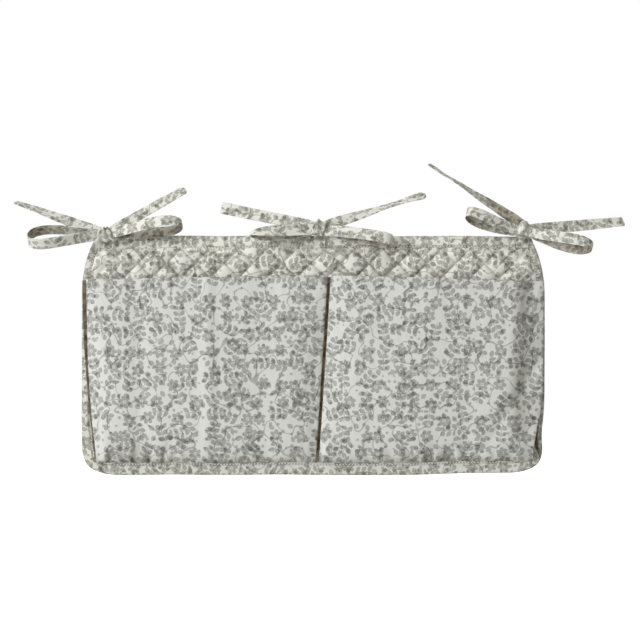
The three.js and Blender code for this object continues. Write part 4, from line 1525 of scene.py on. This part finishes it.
for side, bow in BOWS.items():
    body = f"{side}_bow"
    seed = bow["seed"]
    knot = np.array((bow["x"] * MM, KNOT_Y, bow["z"] * MM))
    knot_piece = make_knot(f"{side}_tie_knot_cloth", knot, bow["knot"], seed)
    tab = make_tab(f"{side}_tie_tab_cloth", knot, seed)
    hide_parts(f"{side}_tie_knot")
    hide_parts(f"{side}_tie_tab")
    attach(knot_piece, body)
    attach(tab, body)
    for number, strand in enumerate(("left_loop", "right_loop")):
        loop = make_loop(f"{side}_tie_{strand}_cloth", knot, bow[strand], seed + number + 1)
        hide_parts(f"{side}_tie_{strand}")
        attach(loop, body)
        loop_length = 2 * bow[strand]["length"] * MM
    for number, strand in enumerate(("left_tail", "right_tail")):
        tail, root, along = make_tail(f"{side}_tie_{strand}_cloth", knot, bow[strand], seed + number + 3)
        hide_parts(f"{side}_tie_{strand}")
        bend_from = root + TAIL_BEND_FROM * along
        bend_to = root + TAIL_BEND_TO * along
        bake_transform(tail)
        tail_length = bow[strand]["length"] * MM


# Stitches

# Sockets of a random number
RANDOM_LEAST = 2
RANDOM_MOST = 3
RANDOM_RESULT = 1


def stitch_tree():
    """Lays a stitch at every pitch along the lines of a mesh."""
    numbers = ("Pitch", "Length", "Thickness", "Unevenness")
    tree, given, result = shape_tree("stitch_rows", numbers, whole_numbers=("Seed",))
    line = node_value(tree, "GeometryNodeMeshToCurve", {"Mesh": given["Geometry"]})
    spaced = {"Curve": line, "Length": given["Pitch"]}
    dots = add_node(tree, "GeometryNodeCurveToPoints", spaced, mode="LENGTH")
    tangent = {"Vector": dots.outputs["Tangent"]}
    aim = node_value(tree, "FunctionNodeAlignRotationToVector", tangent, axis="Z")
    limits = {
        RANDOM_LEAST: 1 - given["Unevenness"],
        RANDOM_MOST: given["Unevenness"] + 1,
        "Seed": given["Seed"],
    }
    chance = node_value(tree, "FunctionNodeRandomValue", limits, RANDOM_RESULT, data_type="FLOAT")
    thickness = given["Thickness"]
    stretch = {"X": thickness, "Y": thickness, "Z": given["Length"] * chance}
    laying = {
        "Points": dots.outputs["Points"],
        "Instance": node_value(tree, "GeometryNodeMeshUVSphere", {"Segments": 6, "Rings": 4, "Radius": 0.5}),
        "Rotation": aim,
        "Scale": node_value(tree, "ShaderNodeCombineXYZ", stretch),
    }
    end_tree(tree, node_value(tree, "GeometryNodeInstanceOnPoints", laying), given, result)
    return tree


STITCHES = stitch_tree()


def sew(name, lines, thickness, material, body):
    """One mesh of stitches along lines of points."""
    points = np.concatenate(lines)
    edges = []
    start = 0
    for line in lines:
        edges += [(i, i + 1) for i in range(start, start + len(line) - 1)]
        start += len(line)
    mesh = bpy.data.meshes.new(name)
    mesh.from_pydata(points.tolist(), edges, [])
    piece = bpy.data.objects.new(name, mesh)
    bpy.context.scene.collection.objects.link(piece)
    grown(
        piece,
        STITCHES,
        pitch=STITCH_PITCH,
        length=STITCH_LENGTH,
        thickness=thickness,
        unevenness=STITCH_UNEVENNESS,
        seed=STITCH_SEED,
        material=material,
    )
    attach(piece, body)
    return piece


def top_rows():
    """The row along the top binding's lower edge, lifted over the tabs, on the front and on the back."""
    x = np.arange(-TOP_ROW_END, TOP_ROW_END, ROW_STEP)
    over_tab = np.zeros_like(x)
    for bow in BOWS.values():
        over_tab = np.maximum(over_tab, smooth((TAB_COVER - abs(x - bow["x"] * MM)) / TAB_COVER_RUN))
    z = -STITCH_INSET * top_flap(x)
    front = as_points(x, -STITCH_Y - TAB_COVER_LIFT * over_tab, z)
    back = as_points(x, STITCH_Y, z)
    return [settle(front), settle(back)]


def edge_rows():
    """The row along the inner edge of the side and foot binding, on the front and on the back."""
    wide = side_line(STITCH_INSET)
    narrow = side_line(STITCH_INSET * SIDE_BINDING_SHARE)
    line = mix(narrow, wide, at_foot(wide[:, 1:]))
    line = line[line[:, 1] < EDGE_ROW_TOP]
    foot_x = np.arange(line[-1, 0], 0, -FOOT_ROW_STEP)
    foot = np.stack([foot_x, np.full_like(foot_x, STITCH_INSET - PANEL_HEIGHT)], 1)
    right = np.concatenate([line, foot])
    path = np.concatenate([right, right[::-1] * (-1, 1)])
    steps = run_lengths(path, 0)
    even = np.arange(0, steps[-1], ROW_STEP)
    x, z = (np.interp(even, steps, path[:, i]) for i in (0, 1))
    front = as_points(x, -STITCH_Y - FOOT_FLAP_LIFT * over_pockets(z), z)
    back = as_points(x, STITCH_Y, z)
    return [settle(front), settle(back)]


def quilting_rows():
    """The diagonal rows between the diamonds: on the front above the pockets, and all over the back."""
    rows = []
    reach = PANEL_WIDTH + PANEL_HEIGHT
    steps = np.arange(-reach, reach, ROW_STEP)
    count = math.ceil(reach / DIAMOND)
    for slope in (1, -1):
        for number in range(-count, count):
            z = DIAMOND_CENTRE_Z + steps
            x = DIAMOND_CENTRE_X + (number + 0.5) * DIAMOND + slope * steps
            for y, lowest in ((-QUILTING_Y, FRONT_ROWS_FOOT), (QUILTING_Y, -PANEL_HEIGHT)):
                kept = (inside_edge(x, z) > BINDING_WIDTH) & (z > lowest)
                if kept.sum() > SHORTEST_ROW:
                    rows.append(settle(as_points(x[kept], y, z[kept])))
    return rows


sew("binding_stitches", top_rows() + edge_rows(), THREAD, THREAD_COTTON, "panel")
sew("quilting_stitches", quilting_rows(), QUILTING_THREAD, PAINTED_SHADE_QUILTING_COTTON, "panel")


# Stage: a floor that glows white away from the middle, a warm surround, lamps and a camera, in metres
FLOOR_Z = -0.62
FLOOR_REACH = 6.0
GLOW_FROM = 0.8
GLOW_TO = 1.8
GLOW_LEAST = 0.64
SURROUND_COLOUR = (1.0, 0.955, 0.89, 1)
SURROUND_STRENGTH = 0.2
WHITE = (1, 1, 1, 1)
LAMP_AIM = Vector((0, 0, -0.12))
CAMERA_DISTANCE = 2.0
CAMERA_FIELD = 0.8
CAMERA_X = 8.5 * MM
CAMERA_Z = -105 * MM
CAMERA_SENSOR = 36


def seen_as_white(tree):
    """1 for the rays that see the stage as plain white: straight from the camera, or by gloss or glass."""
    path = add_node(tree, "ShaderNodeLightPath")
    camera, gloss, glass = (
        Value(tree, path.outputs[f"Is {ray} Ray"]) for ray in ("Camera", "Glossy", "Transmission")
    )
    return camera.step("MAXIMUM", gloss).step("MAXIMUM", glass)


def make_floor():
    material, tree, surface = new_material("pale_floor")
    feed_all(tree, surface, {"Base Color": paint(236, 236, 235), "Roughness": 0.9})
    x, y, _ = parts_of(tree, node_value(tree, "ShaderNodeTexCoord", output="Object"))
    away = (x * x + y * y).step("SQRT")
    far = node_value(tree, "ShaderNodeMapRange", {"Value": away, "From Min": GLOW_FROM, "From Max": GLOW_TO})
    lift = far * (1 - GLOW_LEAST) + GLOW_LEAST
    glow = node_value(tree, "ShaderNodeEmission", {"Color": WHITE, "Strength": lift * seen_as_white(tree)})
    both = node_value(tree, "ShaderNodeAddShader", {0: surface.outputs[0], 1: glow})
    feed(tree, tree.nodes["Material Output"].inputs["Surface"], both)
    ways = ((-1, -1), (1, -1), (1, 1), (-1, 1))
    corners = [(x_way * FLOOR_REACH, y_way * FLOOR_REACH, FLOOR_Z) for x_way, y_way in ways]
    floor = add_mesh("floor", corners, [(0, 1, 2, 3)], material)


def make_world():
    world = bpy.data.worlds.new("studio")
    bpy.context.scene.world = world
    world.use_nodes = True
    tree = world.node_tree
    surround = tree.nodes["Background"]
    feed_all(tree, surround, {"Color": SURROUND_COLOUR, "Strength": SURROUND_STRENGTH})
    white = node_value(tree, "ShaderNodeBackground", {"Color": WHITE})
    choosing = {0: seen_as_white(tree), 1: surround.outputs[0], 2: white}
    choice = node_value(tree, "ShaderNodeMixShader", choosing)
    feed(tree, tree.nodes["World Output"].inputs["Surface"], choice)


def add_lamp(name, place, size, power, colour):
    lamp = bpy.data.lights.new(name, "AREA")
    lamp.shape = "DISK"
    lamp.size = size
    lamp.energy = power
    lamp.color = colour
    stand = bpy.data.objects.new(name, lamp)
    stand.location = place
    aim = LAMP_AIM - Vector(place)
    stand.rotation_euler = aim.to_track_quat("-Z", "Y").to_euler()
    bpy.context.scene.collection.objects.link(stand)


def add_camera():
    lens = bpy.data.cameras.new("camera")
    lens.sensor_width = CAMERA_SENSOR
    lens.lens = CAMERA_SENSOR * CAMERA_DISTANCE / CAMERA_FIELD
    stand = bpy.data.objects.new("camera", lens)
    stand.location = (CAMERA_X, -CAMERA_DISTANCE, CAMERA_Z)
    stand.rotation_euler = (math.pi / 2, 0, 0)
    bpy.context.scene.collection.objects.link(stand)
    bpy.context.scene.camera = stand


make_floor()
make_world()
add_lamp("key", place=(-4.7, -4.1, 1.4), size=1.9, power=306, colour=(0.98, 1.0, 1.02))
add_lamp("top", place=(-0.3, -1.6, 2.4), size=2.0, power=32, colour=(1.0, 0.99, 0.97))
add_lamp("behind", place=(0.6, 2.4, 1.4), size=1.6, power=45, colour=(1.0, 1.0, 1.0))
add_camera()
bpy.context.scene.view_settings.view_transform = "Standard"
